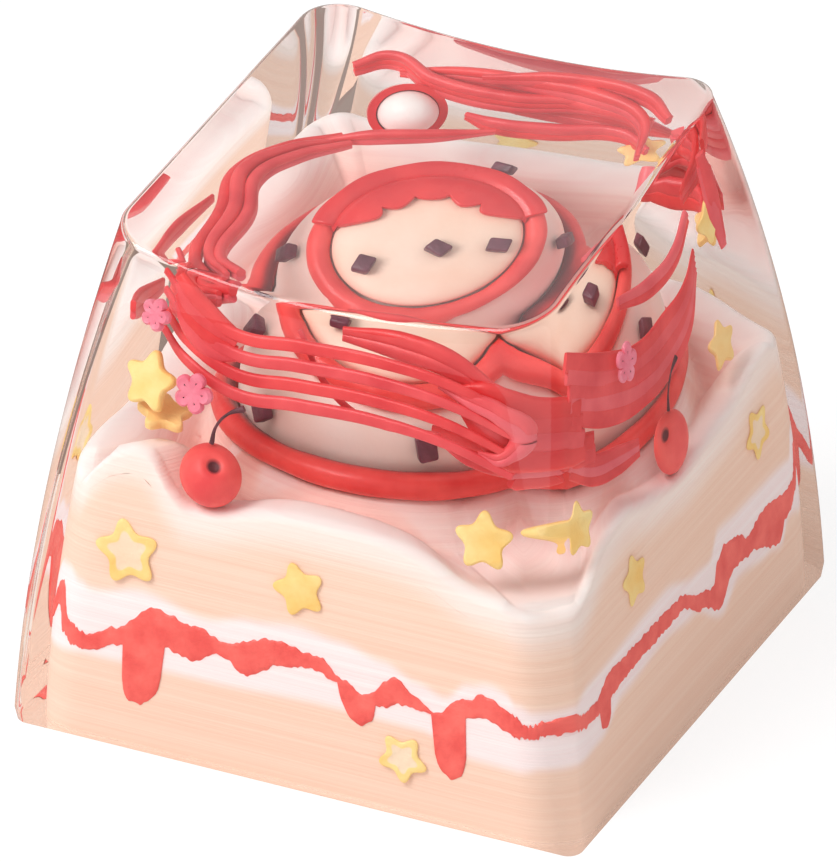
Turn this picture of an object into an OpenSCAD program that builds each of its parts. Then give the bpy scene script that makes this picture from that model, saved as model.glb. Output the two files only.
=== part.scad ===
// Keyboard keycap: a tapered block of clear resin cast round a small layered cake.
// Millimetres, +Z up. The origin is the middle of the base, which stands on z = 0.
// The front, which faces the typist, is -Y, and the right-hand side is +X.

/* [Block] */
// Side of the square base
base_w = 18.2; // [17.6:0.1:19.2]
// Height of the side rims over the middle of the base
block_h = 16.4; // [16:0.1:17.4]
// Width of the top from left to right
top_w = 13.3; // [13:0.1:14.4]
// Front edge of the top, forward of the middle
top_front = 6.6; // [6.5:0.1:7.2]
// Back edge of the top, behind the middle
top_back = 6.9; // [6.8:0.1:7.4]
// Swell of the left and right walls at half height
side_swell = 0.3; // [0.2:0.05:0.6]
// Swell of the front and back walls at half height
face_swell = 0.75; // [0.6:0.05:1]
// Slope of the top, in degrees, rising towards the back
top_tilt = 6.4; // [5:0.2:8]
// Depth of the finger dish along the middle of the top
dish_depth = 0.75; // [0.5:0.05:0.9]
// Radius of the upright corners at the base
base_corner = 0.45; // [0.3:0.05:0.8]
// Radius of the upright corners at the top
top_corner = 1.4; // [1:0.1:1.8]

/* [Cake] */
// Clear wall between the cake and the outside
skin = 0.7; // [0.6:0.05:0.8]
// Radius of the cake's upright corners
cake_corner = 1.3; // [1:0.1:1.6]
// Height of the floor of the cream bowl, as a share of the block's height
bowl_share = 0.433; // [0.42:0.001:0.445]
// Thickness of the cream where it meets the cake's sides
cream_t = 0.8; // [0.5:0.1:1]
// Height of the jam line where the key points say zero
jam_h = 3.7; // [3.5:0.1:4]
// Thickness of the jam, which lies on the cake's side
jam_t = 0.15; // [0.1:0.05:0.25]
// Depth of the cream filling into the sponge
filling_t = 0.4; // [0.3:0.05:0.5]
// Bond line between the resin and what it was cast round
bond = 0.05; // [0.04:0.01:0.06]

/* [Stem] */
// Wall of the cake round the square hollow, at the base
hollow_wall = 1.3; // [1.2:0.05:1.5]
// Height of the hollow
hollow_h = 4.7; // [4.5:0.1:5]
// Diameter of the round stem
stem_d = 5.6; // [5.4:0.1:5.7]
// How far the stem stops short of the base plane
stem_lift = 0.4; // [0.2:0.1:0.8]
// Length of the arms of the cross-shaped socket
socket_l = 4.1; // [4:0.05:4.2]
// Width of the arm that lies along X
socket_x = 1.3; // [1.2:0.05:1.4]
// Width of the arm that lies along Y
socket_y = 1.15; // [1.1:0.05:1.3]
// Depth of the socket
socket_depth = 3.9; // [3.5:0.1:4]

/* [Dessert] */
// Radius of the round cream bun, as a share of the base's width
bun_share = 0.253; // [0.24:0.001:0.258]
// Height of the bun above its widest ring
bun_up = 3.9; // [3.6:0.1:4.1]
// Depth of the bun below its widest ring
bun_down = 1.9; // [1.7:0.1:2]
// Radius of the tilted cream disc on the bun
disc_r = 2.9; // [2.7:0.1:3]
// Thickness of the disc
disc_t = 1.1; // [0.9:0.1:1.3]
// Tilt of the disc towards the front, in degrees
disc_tilt = 20; // [16:1:24]
// Radius of the jam ring round the disc
disc_ring_r = 0.36; // [0.3:0.02:0.4]
// Radius of the jam ring round the foot of the bun
foot_ring_r = 0.4; // [0.3:0.02:0.44]
// Radius of the meringue ball
ball_r = 0.95; // [0.85:0.05:1]
// Thickness of the glaze that runs over the disc and the ball
glaze_t = 0.28; // [0.2:0.02:0.32]
// Size of the chocolate chips
chip_s = 0.62; // [0.5:0.02:0.7]

/* [Trimmings] */
// Thickness of the fruit ribbons
ribbon_t = 0.26; // [0.2:0.02:0.3]
// Width of the thin front strands
strand_w = 0.4; // [0.34:0.02:0.44]
// Spacing of the strands, one above the other
strand_pitch = 0.62; // [0.6:0.02:0.7]
// Radius of the cherries, which lie on the cream
cherry_r = 0.96; // [0.85:0.01:1]
// Clear wall between the cherries and the outside
cherry_gap = 0.1; // [0.1:0.05:0.3]
// Diameter of the cherry stems
stalk_d = 0.16; // [0.12:0.02:0.2]
// Thickness of the star biscuits and flowers
biscuit_t = 0.3; // [0.24:0.02:0.36]

/* [Hidden] */
$fn = 48;
// Samples round the cake and round the finer jam line
CAKE_N = 72;
JAM_N = 160;
// Share of half a side that is straight, before the rounded corner begins
STRAIGHT = 0.35;
BLOCK_LEVELS = 8;
CUT = 0.01;
bowl_h = bowl_share * block_h;
sponge_h = bowl_h - cream_t;
bun_r = bun_share * base_w;
hollow_w = base_w - 2 * (skin + hollow_wall);
bun_at = [0.3, 0.1, bowl_h + bun_down + bond];
disc_at = bun_at + [0.45, -1.05, bun_up - 0.55];
disc_turn = 24;
foot_drop = 0.3;
BALL_PLACE = [-0.394, 0.631, 0.634];

// Cream rim of the cake: places round it, in sides from the middle of the front, and heights above bowl_h
RIM = [
    [-0.5, 0.9], [-0.42, 1.6], [-0.34, 2.1], [-0.295, 2.5], [-0.265, 2], [-0.225, 0.8], [-0.2, 0.85],
    [-0.15, 0.85], [-0.12, 1.1], [-0.03, 1.35], [0.05, 1.35], [0.13, 1.3], [0.2, 1.1], [0.3, 0.3],
    [0.42, 0], [0.55, -0.15], [0.66, -0.1], [0.73, 0.8], [0.81, 1.1], [0.92, 0.6], [1.02, 0.35],
    [1.15, 0.6], [1.36, 1.4], [1.5, 1.1], [1.7, 1.2], [1.95, 1.4], [2.2, 1], [2.45, 1.3], [2.6, 1.1],
    [2.8, 1.6], [3.05, 1.1], [3.3, 1.6], [3.5, 0.9]
];
// Edges of the jam line over the front and the right side, as heights above jam_h; they repeat behind
JAM_TOP = [
    [-0.5, 1], [-0.426, -0.14], [-0.342, -0.41], [-0.3, 0.05], [-0.241, 0.94], [-0.16, 0.65],
    [-0.12, 0.36], [-0.04, 0.84], [0.04, 0.66], [0.076, 0.14], [0.11, -0.2], [0.167, 0.6],
    [0.191, 0.16], [0.226, -0.22], [0.276, 0.42], [0.31, 0.67], [0.36, 0.3], [0.434, -0.01],
    [0.52, 0.2], [0.6, 0.05], [0.67, 0], [0.72, 0.43], [0.92, 0.38], [0.965, 0.32], [1.03, -0.2],
    [1.075, -0.5], [1.1, 0.2], [1.125, 0.42], [1.17, 0.25], [1.2, -0.12], [1.25, 0.1], [1.28, 0.17],
    [1.33, -0.04], [1.4, 0.05], [1.5, 1]
];
JAM_BOTTOM = [
    [-0.5, 0.2], [-0.454, -0.6], [-0.4, -0.9], [-0.34, -0.9], [-0.29, -0.5], [-0.222, -0.2],
    [-0.171, -0.42], [-0.126, -0.05], [-0.079, -0.5], [-0.026, 0.04], [0.03, 0.22], [0.064, 0],
    [0.1, -0.55], [0.148, -0.45], [0.167, -0.23], [0.2, -0.28], [0.25, -0.35], [0.31, -0.06],
    [0.368, -0.4], [0.452, -0.43], [0.5, -0.28], [0.6, -0.4], [0.66, -0.43], [0.73, -0.32], [0.8, -0.2],
    [0.97, -0.16], [1.03, -0.75], [1.094, -1.36], [1.143, -0.66], [1.206, -0.73], [1.306, -1.38],
    [1.332, -0.87], [1.42, -0.4], [1.5, 0.2]
];
// Edges of the cream filling, given in the same way
CREAM_TOP = [
    [-0.5, 1.6], [-0.4, 1.3], [-0.34, 1.15], [-0.264, 1.45], [-0.152, 1.05], [-0.078, 1.35], [0, 1.5],
    [0.071, 1.35], [0.144, 1.05], [0.2, 0.65], [0.244, 0.4], [0.284, 0.95], [0.319, 1.1], [0.392, 0.65],
    [0.49, 0.5], [0.663, 0.8], [0.92, 1.05], [1.02, 0.55], [1.07, 0.45], [1.11, 1.1], [1.18, 1],
    [1.29, 0.95], [1.39, 0.85], [1.5, 1.6]
];
CREAM_BOTTOM = [
    [-0.5, -1.2], [-0.324, -1.1], [-0.145, -1.05], [0.047, -0.9], [0.2, -0.95], [0.28, -1.5],
    [0.37, -1.55], [0.53, -1.4], [0.68, -1.3], [0.76, -0.7], [0.905, -0.5], [1, -0.7], [1.1, -1.65],
    [1.16, -1.1], [1.264, -1.4], [1.31, -1.6], [1.342, -1], [1.5, -1.2]
];
// Drips of jam: place round the cake, half width in sides, and length
DRIPS = [
    [-0.25, 0.045, 2], [0.1, 0.04, 0.65], [0.25, 0.038, 1.9], [0.7, 0.025, 0.7], [1.75, 0.045, 1.5],
    [2.2, 0.04, 1.9], [2.65, 0.04, 1.2], [3.1, 0.04, 1.8]
];

// Stars laid flat on the cake's sides: place round the cake, height, radius, turn, and points
SIDE_STARS = [
    [-0.292, 6.2, 1.05, 12, 5], [0.002, 6.3, 0.85, 20, 5], [0.171, 1.75, 0.8, 40, 5],
    [0.828, 6, 0.8, 5, 5], [1.273, 6.3, 0.85, 25, 5], [2.05, 6.3, 0.9, 10, 5], [3.05, 6.2, 0.9, 30, 5]
];
// Places inside the block are shares of its half width and half depth there. Stars that stand in the
// clear resin: place, with its height above bowl_h, tilt about X and Z, radius, and points
LOOSE_STARS = [
    [[-0.688, -0.821, 4], [68, 0, -20], 0.95, 5], [[-0.622, -0.764, 2.95], [12, 0, 15], 0.9, 5],
    [[0.666, -0.811, 1.55], [68, 0, 15], 0.92, 5], [[0.861, -0.709, 1.75], [70, 0, 58], 0.82, 5],
    [[0.781, 0.543, 2.2], [60, 0, 80], 0.8, 5], [[0.85, 0.598, 6.2], [80, 0, 70], 0.7, 4],
    [[0.658, 0.699, 5.4], [40, 0, 30], 0.8, 5]
];
// From here on heights are shares of the clear height over the bowl's floor.
// Five-petalled flowers: place, turn, and radius
FLOWERS = [
    [[-0.487, -0.913, 0.458], [80, 0, -5], 0.62], [[0.939, -0.272, 0.548], [84, 0, 86], 0.62],
    [[-0.703, -0.912, 0.672], [75, 0, -15], 0.5]
];
// Chocolate chips on the disc, as radius and angle, and on the bun, as angle round it and height angle
DISC_CHIPS = [[2.2, -15], [0.6, -60], [2.2, -150]];
BUN_CHIPS = [[-58, 32], [30, 10], [-36, 9], [104, 30], [172, 36]];
CHIP_COUNT = len(DISC_CHIPS) + len(BUN_CHIPS);

// Ribbons as routes of points through the resin, with width at start, middle and end
RIBBONS = [
    [
        "ribbon_left",
        [[-0.474, -0.817, 0.731], [-0.629, -0.641, 0.656], [-0.693, -0.3, 0.634],
         [-0.787, -0.041, 0.624], [-0.703, 0.191, 0.613], [-0.54, 0.37, 0.602]],
        [0.6, 1.1, 0.8]
    ],
    [
        "ribbon_back",
        [[-0.539, 0.842, 0.699], [-0.251, 0.893, 0.742], [0.056, 0.896, 0.774], [0.368, 0.869, 0.796],
         [0.652, 0.746, 0.796], [0.747, 0.497, 0.774]],
        [0.7, 1.2, 0.7]
    ],
    [
        "ribbon_right",
        [[0.836, -0.681, 0.602], [0.849, -0.387, 0.495], [0.816, -0.086, 0.419], [0.788, 0.134, 0.409],
         [0.797, 0.333, 0.462], [0.761, 0.479, 0.559]],
        [2.2, 2, 0.9]
    ],
    [
        "ribbon_curl",
        [[0.725, -0.646, 0.333], [0.767, -0.507, 0.269], [0.785, -0.315, 0.226], [0.821, -0.185, 0.215]],
        [0.7, 0.9, 0.5]
    ],
    [
        "ribbon_left_tail",
        [[-0.868, -0.609, 0.559], [-0.906, -0.336, 0.484], [-0.898, -0.062, 0.441]],
        [0.5, 0.7, 0.4]
    ]
];
STRAND_COUNT = 4;
STRAND_ROUTE = [
    [-0.713, -0.748, 0.667], [-0.57, -0.853, 0.624], [-0.347, -0.862, 0.559], [-0.08, -0.871, 0.57],
    [0.255, -0.881, 0.581], [0.548, -0.875, 0.559], [0.786, -0.793, 0.473]
];

// Cherries: place round the cake, and the way the stalk bends
CHERRIES = [["cherry_left", -0.188, 10], ["cherry_right", 1.01, 100]];

// Outline of the block at a height: half width, front edge, back edge and corner radius
function rise(z) = z / block_h;
function wall(base, top, swell, t) = base * (1 - t) + top * t + 4 * swell * t * (1 - t);
function half_x(z) = wall(base_w / 2, top_w / 2, side_swell, rise(z));
function front_y(z) = -wall(base_w / 2, top_front, face_swell, rise(z));
function back_y(z) = wall(base_w / 2, top_back, face_swell, rise(z));
function corner_r(z) = base_corner * (1 - rise(z)) + top_corner * rise(z);

// Place inside the block, from shares of its half width and half depth at a height above bowl_h
function over_bowl(p, high) =
    let (
        z = bowl_h + high,
        middle = (back_y(z) + front_y(z)) / 2,
        deep = (back_y(z) - front_y(z)) / 2
    ) [p[0] * half_x(z), middle + p[1] * deep, z];
function inside(p) = over_bowl(p, p[2] * (block_h - bowl_h));

// A point of the rounded outline: u counts sides from the middle of the front, anticlockwise from above
function outline(u, z, inset, r) =
    let (
        side = floor(u + 0.5),
        w = u - side,
        middle = (back_y(z) + front_y(z)) / 2,
        deep = (back_y(z) - front_y(z)) / 2 - inset,
        wide = half_x(z) - inset,
        along = side % 2 == 0 ? wide : deep,
        out = side % 2 == 0 ? deep : wide,
        bend = max(0, (abs(w) - STRAIGHT) / (0.5 - STRAIGHT) * 45),
        s = abs(w) <= STRAIGHT ? w / STRAIGHT * (along - r) : sign(w) * (along - r + r * sin(bend)),
        o = out - r + r * cos(bend),
        turn = 90 * side
    ) [s * cos(turn) + o * sin(turn), middle + s * sin(turn) - o * cos(turn), z];

function places(n) = [for (i = [0 : n - 1]) i * 4 / n - 0.5];

// Smooth interpolation of a list of [place, value]
function eased(points, u, i = 0) =
    u <= points[i + 1][0] || i + 2 == len(points)
        ? let (f = (u - points[i][0]) / (points[i + 1][0] - points[i][0]))
            points[i][1] + (points[i + 1][1] - points[i][1]) * (1 - cos(180 * min(1, max(0, f)))) / 2
        : eased(points, u, i + 1);

function rim(u) = bowl_h + eased(RIM, u);
function side_height(points, u) = jam_h + eased(points, u > 1.5 ? u - 2 : u);
function drop(s) = pow(max(0, 1 - s * s), 0.4);
function drip(u) = max([for (d = DRIPS) d[2] * drop((u - d[0]) / d[1])]);

// Cream bowl: height at a place and at a share of the way out from the middle
function bowl(u, f) =
    let (s = min(1, max(0, (f - 0.52) / 0.36)))
    bowl_h + (rim(u) - bowl_h) * s * s * (3 - 2 * s) - 0.3 * pow(max(0, (f - 0.88) / 0.12), 2);

// Solid skinned over rings of points that run anticlockwise, bottom ring first.
// crossed lists the strips split along the other diagonal, so that a neighbour's skin meets them exactly.
module loft(rings, closed = false, bottom = undef, top = undef, crossed = []) {
    n = len(rings[0]);
    m = len(rings);
    spans = closed ? m : m - 1;
    ends = concat(is_undef(bottom) ? [] : [bottom], is_undef(top) ? [] : [top]);
    points = concat([for (r = rings) each r], ends);
    low = n * m;
    high = is_undef(bottom) ? low : low + 1;
    sides = [
        for (j = [0 : spans - 1], i = [0 : n - 1])
            let (
                k = (j + 1) % m,
                h = (i + 1) % n,
                a = j * n + i,
                b = j * n + h,
                c = k * n + h,
                d = k * n + i
            )
            each len(search(j, crossed)) > 0 ? [[a, d, b], [b, d, c]] : [[a, d, c], [a, c, b]]
    ];
    floor_faces = closed ? []
        : is_undef(bottom) ? [[for (i = [0 : n - 1]) i]]
        : [for (i = [0 : n - 1]) [i, (i + 1) % n, low]];
    roof_faces = closed ? []
        : is_undef(top) ? [[for (i = [n - 1 : -1 : 0]) (m - 1) * n + i]]
        : [for (i = [0 : n - 1]) [(m - 1) * n + (i + 1) % n, (m - 1) * n + i, high]];
    polyhedron(points, concat(sides, floor_faces, roof_faces), convexity = 6);
}

// Ring round the cake with its own height at each place
function ring_of(n, inset, heights) =
    [for (i = [0 : n - 1]) outline(places(n)[i], heights[i], inset, cake_corner + skin - inset)];
function cake_ring(inset, heights) = ring_of(CAKE_N, inset, heights);

function shrink(ring, share, heights) =
    [for (i = [0 : len(ring) - 1]) [ring[i][0] * share, ring[i][1] * share, heights[i]]];

rim_heights = [for (u = places(CAKE_N)) bowl(u, 1)];
sponge_edge = [for (z = rim_heights) z - cream_t];
filling_top = [for (u = places(CAKE_N)) side_height(CREAM_TOP, u)];
filling_bottom = [for (u = places(CAKE_N)) side_height(CREAM_BOTTOM, u)];
middle_point = [0, 0, sponge_h];

function between(low, high, share) = low * (1 - share) + high * share;
function level(z) = [for (i = [0 : CAKE_N - 1]) z];

function bowl_rings(inset, lift) = [
    for (f = [1, 0.93, 0.78, 0.52])
        let (edge = cake_ring(f == 1 ? inset : skin, rim_heights))
        shrink(edge, f, [for (u = places(CAKE_N)) bowl(u, f) + lift])
];

// Whole outer form of the cake, which the resin leaves free
module cake_form(grow) {
    edge = [for (z = rim_heights) z + grow];
    inset = skin - grow;
    loft(
        concat(
            [for (share = [0, 0.33, 0.67]) cake_ring(inset, between(level(-CUT), edge, share))],
            bowl_rings(inset, grow)
        ),
        top = [0, 0, bowl_h + grow]
    );
}

module sponge() {
    color("#F8D6C2")
        difference() {
            union() {
                difference() {
                    loft(
                        [
                            cake_ring(skin, level(0)),
                            cake_ring(skin, between(level(0), filling_bottom, 0.5)),
                            cake_ring(skin, filling_bottom),
                            cake_ring(skin + filling_t, filling_bottom),
                            cake_ring(skin + filling_t, filling_top),
                            cake_ring(skin, filling_top),
                            cake_ring(skin, between(filling_top, sponge_edge, 0.5)),
                            cake_ring(skin, sponge_edge),
                            shrink(cake_ring(skin, sponge_edge), 0.52, level(sponge_h))
                        ],
                        top = middle_point
                    );
                    translate([-hollow_w / 2, -hollow_w / 2, -1])
                        cube([hollow_w, hollow_w, hollow_h + 1]);
                }
                translate([0, 0, stem_lift])
                    cylinder(d = stem_d, h = hollow_h - stem_lift + CUT);
            }
            stem_socket();
        }
}

// Cross-shaped socket in the stem, which a key switch enters from below
module stem_socket() {
    translate([-socket_l / 2, -socket_x / 2, stem_lift - 1])
        cube([socket_l, socket_x, socket_depth + 1]);
    translate([-socket_y / 2, -socket_l / 2, stem_lift - 1])
        cube([socket_y, socket_l, socket_depth + 1]);
}

module cream_filling() {
    color("#FAEDE9")
        loft(
            [
                cake_ring(skin, filling_bottom),
                cake_ring(skin, filling_top),
                cake_ring(skin + filling_t, filling_top),
                cake_ring(skin + filling_t, filling_bottom)
            ],
            closed = true,
            crossed = [1, 2, 3]
        );
}

// Jam that runs round the outside of the cake and drips down it
module jam_line(grow = 0) {
    near = skin - bond;
    far = near - jam_t;
    u = places(JAM_N);
    low = [for (p = u) side_height(JAM_BOTTOM, p) - drip(p) - grow];
    high = [for (p = u) side_height(JAM_TOP, p) + grow];
    outer = far - grow;
    inner = near + grow;
    color("#F2605A")
        loft(
            [
                ring_of(JAM_N, outer, low),
                ring_of(JAM_N, outer, high),
                ring_of(JAM_N, inner, high),
                ring_of(JAM_N, inner, low)
            ],
            closed = true
        );
}

module cream_topping() {
    sides = cake_ring(skin, sponge_edge);
    color("#FBE9E4")
        loft(
            concat([shrink(sides, 0.52, level(sponge_h)), sides], bowl_rings(skin, 0)),
            bottom = middle_point,
            top = [0, 0, bowl_h],
            crossed = [0]
        );
}

// Rounded bun: widest at z = 0, higher above than below
BUN_PROFILE = [for (a = [-90 : 12 : 90]) bun_point(a)];

module bun_form(grow) {
    translate(bun_at)
        rotate_extrude()
            polygon([for (p = BUN_PROFILE) [p[0] == 0 ? 0 : p[0] + grow, p[1] + sign(p[1]) * grow]]);
}

module bun() {
    color("#FBE6D8")
        difference() {
            bun_form(0);
            disc_place()
                translate([-2 * bun_r, -2 * bun_r, -disc_t / 2 - bond])
                    cube(4 * bun_r);
        }
}

module disc_place() {
    translate(disc_at)
        rotate([0, 0, disc_turn])
            rotate([disc_tilt, 0, 0])
                children();
}

// Disc with a flat foot and a crowned face
module disc_form(grow) {
    rotate_extrude()
        polygon(concat(
            [[0, -disc_t / 2 - grow], [disc_r + grow, -disc_t / 2 - grow]],
            [for (a = [0 : 18 : 90]) [(disc_r + grow) * sqrt(max(0, cos(a))), (disc_t / 2 + grow) * sin(a)]]
        ));
}

module cream_disc() {
    color("#F8E0D2")
        disc_place()
            disc_form(0);
}

// Jam ring round the edge of the disc, level with its foot
module ring_form(r) {
    disc_place()
        rotate_extrude()
            translate([disc_r + bond + disc_ring_r, disc_ring_r - disc_t / 2])
                circle(r = r, $fn = 24);
}

module disc_jam_ring() {
    color("#E8484A")
        ring_form(disc_ring_r);
}

module foot_ring_form(r) {
    translate(bun_at - [0, 0, foot_drop])
        rotate_extrude()
            translate([bun_r + bond + foot_ring_r, 0])
                circle(r = r, $fn = 24);
}

module foot_jam_ring() {
    color("#E2404A")
        foot_ring_form(foot_ring_r);
}

// Glaze that runs over the back of the disc and its jam ring
GLAZE_SWEEP = 150;
GLAZE_REACH = [0.45, 0.65, 0.82, 0.95, 1.05, 1.13, 1.23];
function ring_top(q) =
    let (out = q - disc_r - bond - disc_ring_r)
    disc_ring_r - disc_t / 2 + sqrt(max(0, pow(disc_ring_r, 2) - out * out));
function under_glaze(q) = max(q < disc_r ? crown(q) : 0, ring_top(q)) + bond;

module glaze_form(grow) {
    last = len(GLAZE_REACH) - 1;
    reach = [for (k = [0 : last]) GLAZE_REACH[k] * disc_r + (k == 0 ? -grow : k == last ? grow : 0)];
    under = [for (k = [0 : last]) [reach[k], under_glaze(GLAZE_REACH[k] * disc_r) - grow]];
    over = [for (k = [last : -1 : 0]) under[k] + [0, glaze_t + 2 * grow]];
    disc_place()
        rotate([0, 0, 15 - 2 * grow])
            rotate_extrude(angle = GLAZE_SWEEP + 4 * grow)
                polygon(concat(under, over));
}

module disc_glaze() {
    color("#DE3038")
        glaze_form(0);
}

module meringue_ball() {
    color("#FFF6F2")
        translate(inside(BALL_PLACE))
            sphere(r = ball_r);
}

// Cup of glaze under the ball
module ball_glaze() {
    color("#E8484A")
        translate(inside(BALL_PLACE))
            rotate([35, 40, 0])
                rotate_extrude()
                    ball_cup_profile(0);
}

module ball_cup_profile(grow) {
    intersection() {
        difference() {
            circle(r = ball_r + bond + glaze_t + grow);
            circle(r = ball_r + bond);
        }
        translate([0, -2 * ball_r])
            square([2 * ball_r, 2 * ball_r + grow]);
    }
}

// Star outline with a number of points
module star_shape(r, points, grow) {
    polygon([
        for (i = [0 : 2 * points - 1])
            let (a = i * 180 / points + 90, q = (i % 2 == 0 ? r : r * 0.56) + grow)
            [q * cos(a), q * sin(a)]
    ]);
}

module star_plate(r, points, grow) {
    translate([0, 0, -biscuit_t / 2 - grow])
        linear_extrude(biscuit_t + 2 * grow)
            star_shape(r, points, 1.5 * grow);
}

// Lays its children on the cake's side, with local Z pointing out of the cake
module on_side(u, z, out) {
    p = outline(u, z, skin - out, cake_corner);
    q = outline(u, z + 0.5, skin - out, cake_corner);
    turn = 90 * floor(u + 0.5);
    lean = atan2(norm([q[0] - p[0], q[1] - p[1]]), 0.5);
    translate(p)
        rotate([0, 0, turn])
            rotate([90 - lean, 0, 0])
                children();
}

module side_star(i, grow = 0) {
    s = SIDE_STARS[i];
    color("#FBD98C")
        on_side(s[0], s[1], bond + biscuit_t / 2)
            rotate([0, 0, s[3]])
                star_plate(s[2], s[4], grow);
}

module star_biscuit(i, grow = 0) {
    s = LOOSE_STARS[i];
    color("#F9CE84")
        translate(over_bowl(s[0], s[0][2]))
            rotate([0, 0, s[1][2]])
                rotate([s[1][0], s[1][1], 0])
                    star_plate(s[2], s[3], grow);
}

module flower(i, grow = 0) {
    f = FLOWERS[i];
    r = f[2];
    color("#F291A0")
        translate(inside(f[0]))
            rotate([0, 0, f[1][2]])
                rotate([f[1][0], 0, 0])
                    translate([0, 0, -biscuit_t / 2 - grow])
                        linear_extrude(biscuit_t + 2 * grow)
                            for (k = [0 : 4])
                                rotate(k * 72)
                                    translate([r * 0.55, 0])
                                        circle(r = r * 0.45 + grow, $fn = 16);
}

// Height of the disc's crown and of the bun's skin
function crown(q) = disc_t / 2 * sqrt(max(0, 1 - pow(q / disc_r, 4)));
function bun_point(a) =
    [bun_r * pow(max(0, cos(a)), 0.75), (a < 0 ? -bun_down : bun_up) * pow(abs(sin(a)), 0.95)];

// Places its children on the disc or on the bun, with local Z pointing away from it
module chip_place(i) {
    if (i < len(DISC_CHIPS)) {
        c = DISC_CHIPS[i];
        disc_place()
            rotate([0, 0, c[1]])
                translate([c[0], 0, crown(c[0] - chip_s / 2) + bond])
                    rotate([0, 0, 20 * i])
                        children();
    } else {
        c = BUN_CHIPS[i - len(DISC_CHIPS)];
        p = bun_point(c[1]);
        slope = bun_point(c[1] + 1) - bun_point(c[1] - 1);
        translate(bun_at)
            rotate([0, 0, c[0]])
                translate([0, -p[0], p[1]])
                    rotate([atan2(slope[1], -slope[0]), 0, 0])
                        translate([0, 0, 2 * bond])
                            rotate([0, 0, 25 * i])
                                children();
    }
}

module chocolate_chip(i, grow = 0) {
    size = chip_s + 2 * grow;
    high = chip_s * 0.7 + 2 * grow;
    color("#6A3040")
        chip_place(i)
            translate([-size * 0.6, -size / 2, -grow])
                cube([size * 1.2, size, high]);
}

// Smooth route through a few points, then a flat band swept along it
function along(route, s) =
    let (
        i = min(floor(s), len(route) - 2),
        t = s - i,
        a = route[max(i - 1, 0)],
        b = route[i],
        c = route[i + 1],
        d = route[min(i + 2, len(route) - 1)]
    ) b + ((c - a) * t + (2 * a - 5 * b + 4 * c - d) * t * t + (3 * b - a - 3 * c + d) * t * t * t) / 2;

function width_at(widths, share) =
    share < 0.5
        ? widths[0] + (widths[1] - widths[0]) * sin(180 * share)
        : widths[2] + (widths[1] - widths[2]) * sin(180 * share);

module band(route, widths, grow, steps = 3) {
    last = (len(route) - 1) * steps;
    rings = [
        for (k = [0 : last])
            let (
                here = along(route, k / steps),
                ahead = along(route, min(k + 0.1, last) / steps) - along(route, max(k - 0.1, 0) / steps),
                flat = [ahead[0], ahead[1], 0] / norm([ahead[0], ahead[1]]),
                side = [flat[1], -flat[0], 0] * (ribbon_t / 2 + grow),
                up = [0, 0, width_at(widths, k / last) / 2 + grow],
                end = flat * (k == 0 ? -grow : k == last ? grow : 0)
            )
            [for (corner = [up - side, up + side, side - up, -side - up]) here + end + corner]
    ];
    loft(rings);
}

module ribbon(i, grow = 0) {
    color("#DC3440")
        band([for (p = RIBBONS[i][1]) inside(p)], RIBBONS[i][2], grow);
}

module ribbon_strand(i, grow = 0) {
    spread = (i - (STRAND_COUNT - 1) / 2) * strand_pitch;
    route = [for (p = STRAND_ROUTE) inside(p) - [0, 0, spread]];
    color("#E23A44")
        band(route, [strand_w, strand_w * 1.1, strand_w], grow, 2);
}

// Middle of a cherry that lies on the rim
function cherry_at(i) =
    let (u = CHERRIES[i][1])
    outline(u, rim(u) + bond + cherry_r, cherry_r + cherry_gap, cake_corner);

module cherry(i, r = cherry_r) {
    color("#E24A50")
        translate(cherry_at(i))
            sphere(r = r);
}

// Bent stalk that starts in the top of the fruit and curves over
STALK_BEND = 75;
module cherry_stalk(i, grow = 0) {
    bend_r = 1.3;
    color("#5A3038")
        translate(cherry_at(i) + [0, 0, cherry_r + bond])
            rotate([0, 0, CHERRIES[i][2]])
                translate([bend_r, 0, 0])
                    rotate([90, 180 - STALK_BEND + 60 * grow, 0])
                        rotate_extrude(angle = STALK_BEND + 120 * grow)
                            translate([bend_r, 0])
                                circle(d = stalk_d + 2 * grow, $fn = 16);
}

// Cylinder that scoops the finger dish out of the sloping top
module dish_cutter() {
    r = (pow(top_w / 2, 2) + pow(dish_depth, 2)) / (2 * dish_depth);
    translate([0, 0, block_h - dish_depth])
        rotate([top_tilt, 0, 0])
            translate([0, 0, r])
                rotate([90, 0, 0])
                    cylinder(r = r, h = 3 * base_w, center = true, $fn = 300);
}

function block_ring(z) = [
    for (side = [0 : 3], w = [-0.5 : 0.05 : 0.46])
        if (abs(w) > STRAIGHT - CUT)
            outline(side + w, z, 0, corner_r(z))
];

module block_form() {
    top_z = block_h + tan(top_tilt) * top_back + 0.4;
    loft([for (i = [0 : BLOCK_LEVELS]) block_ring(top_z * i / BLOCK_LEVELS)]);
}

// Everything that lies in the clear resin, a bond line larger than it is
module inclusions(grow) {
    jam_line(grow);
    bun_form(grow);
    disc_place()
        disc_form(grow);
    ring_form(disc_ring_r + grow);
    foot_ring_form(foot_ring_r + grow);
    glaze_form(grow);
    translate(inside(BALL_PLACE))
        sphere(r = ball_r + bond + glaze_t + grow);
    for (i = [0 : len(SIDE_STARS) - 1])
        side_star(i, grow);
    for (i = [0 : len(LOOSE_STARS) - 1])
        star_biscuit(i, grow);
    for (i = [0 : len(FLOWERS) - 1])
        flower(i, grow);
    for (i = [0 : CHIP_COUNT - 1])
        chocolate_chip(i, grow);
    for (i = [0 : len(RIBBONS) - 1])
        ribbon(i, grow);
    for (i = [0 : STRAND_COUNT - 1])
        ribbon_strand(i, grow);
    for (i = [0 : len(CHERRIES) - 1]) {
        cherry(i, cherry_r + grow);
        cherry_stalk(i, grow);
    }
}

module clear_casting() {
    color("#FFF4F0", 0.35)
        difference() {
            block_form();
            dish_cutter();
            cake_form(bond);
            inclusions(bond);
        }
}

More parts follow.
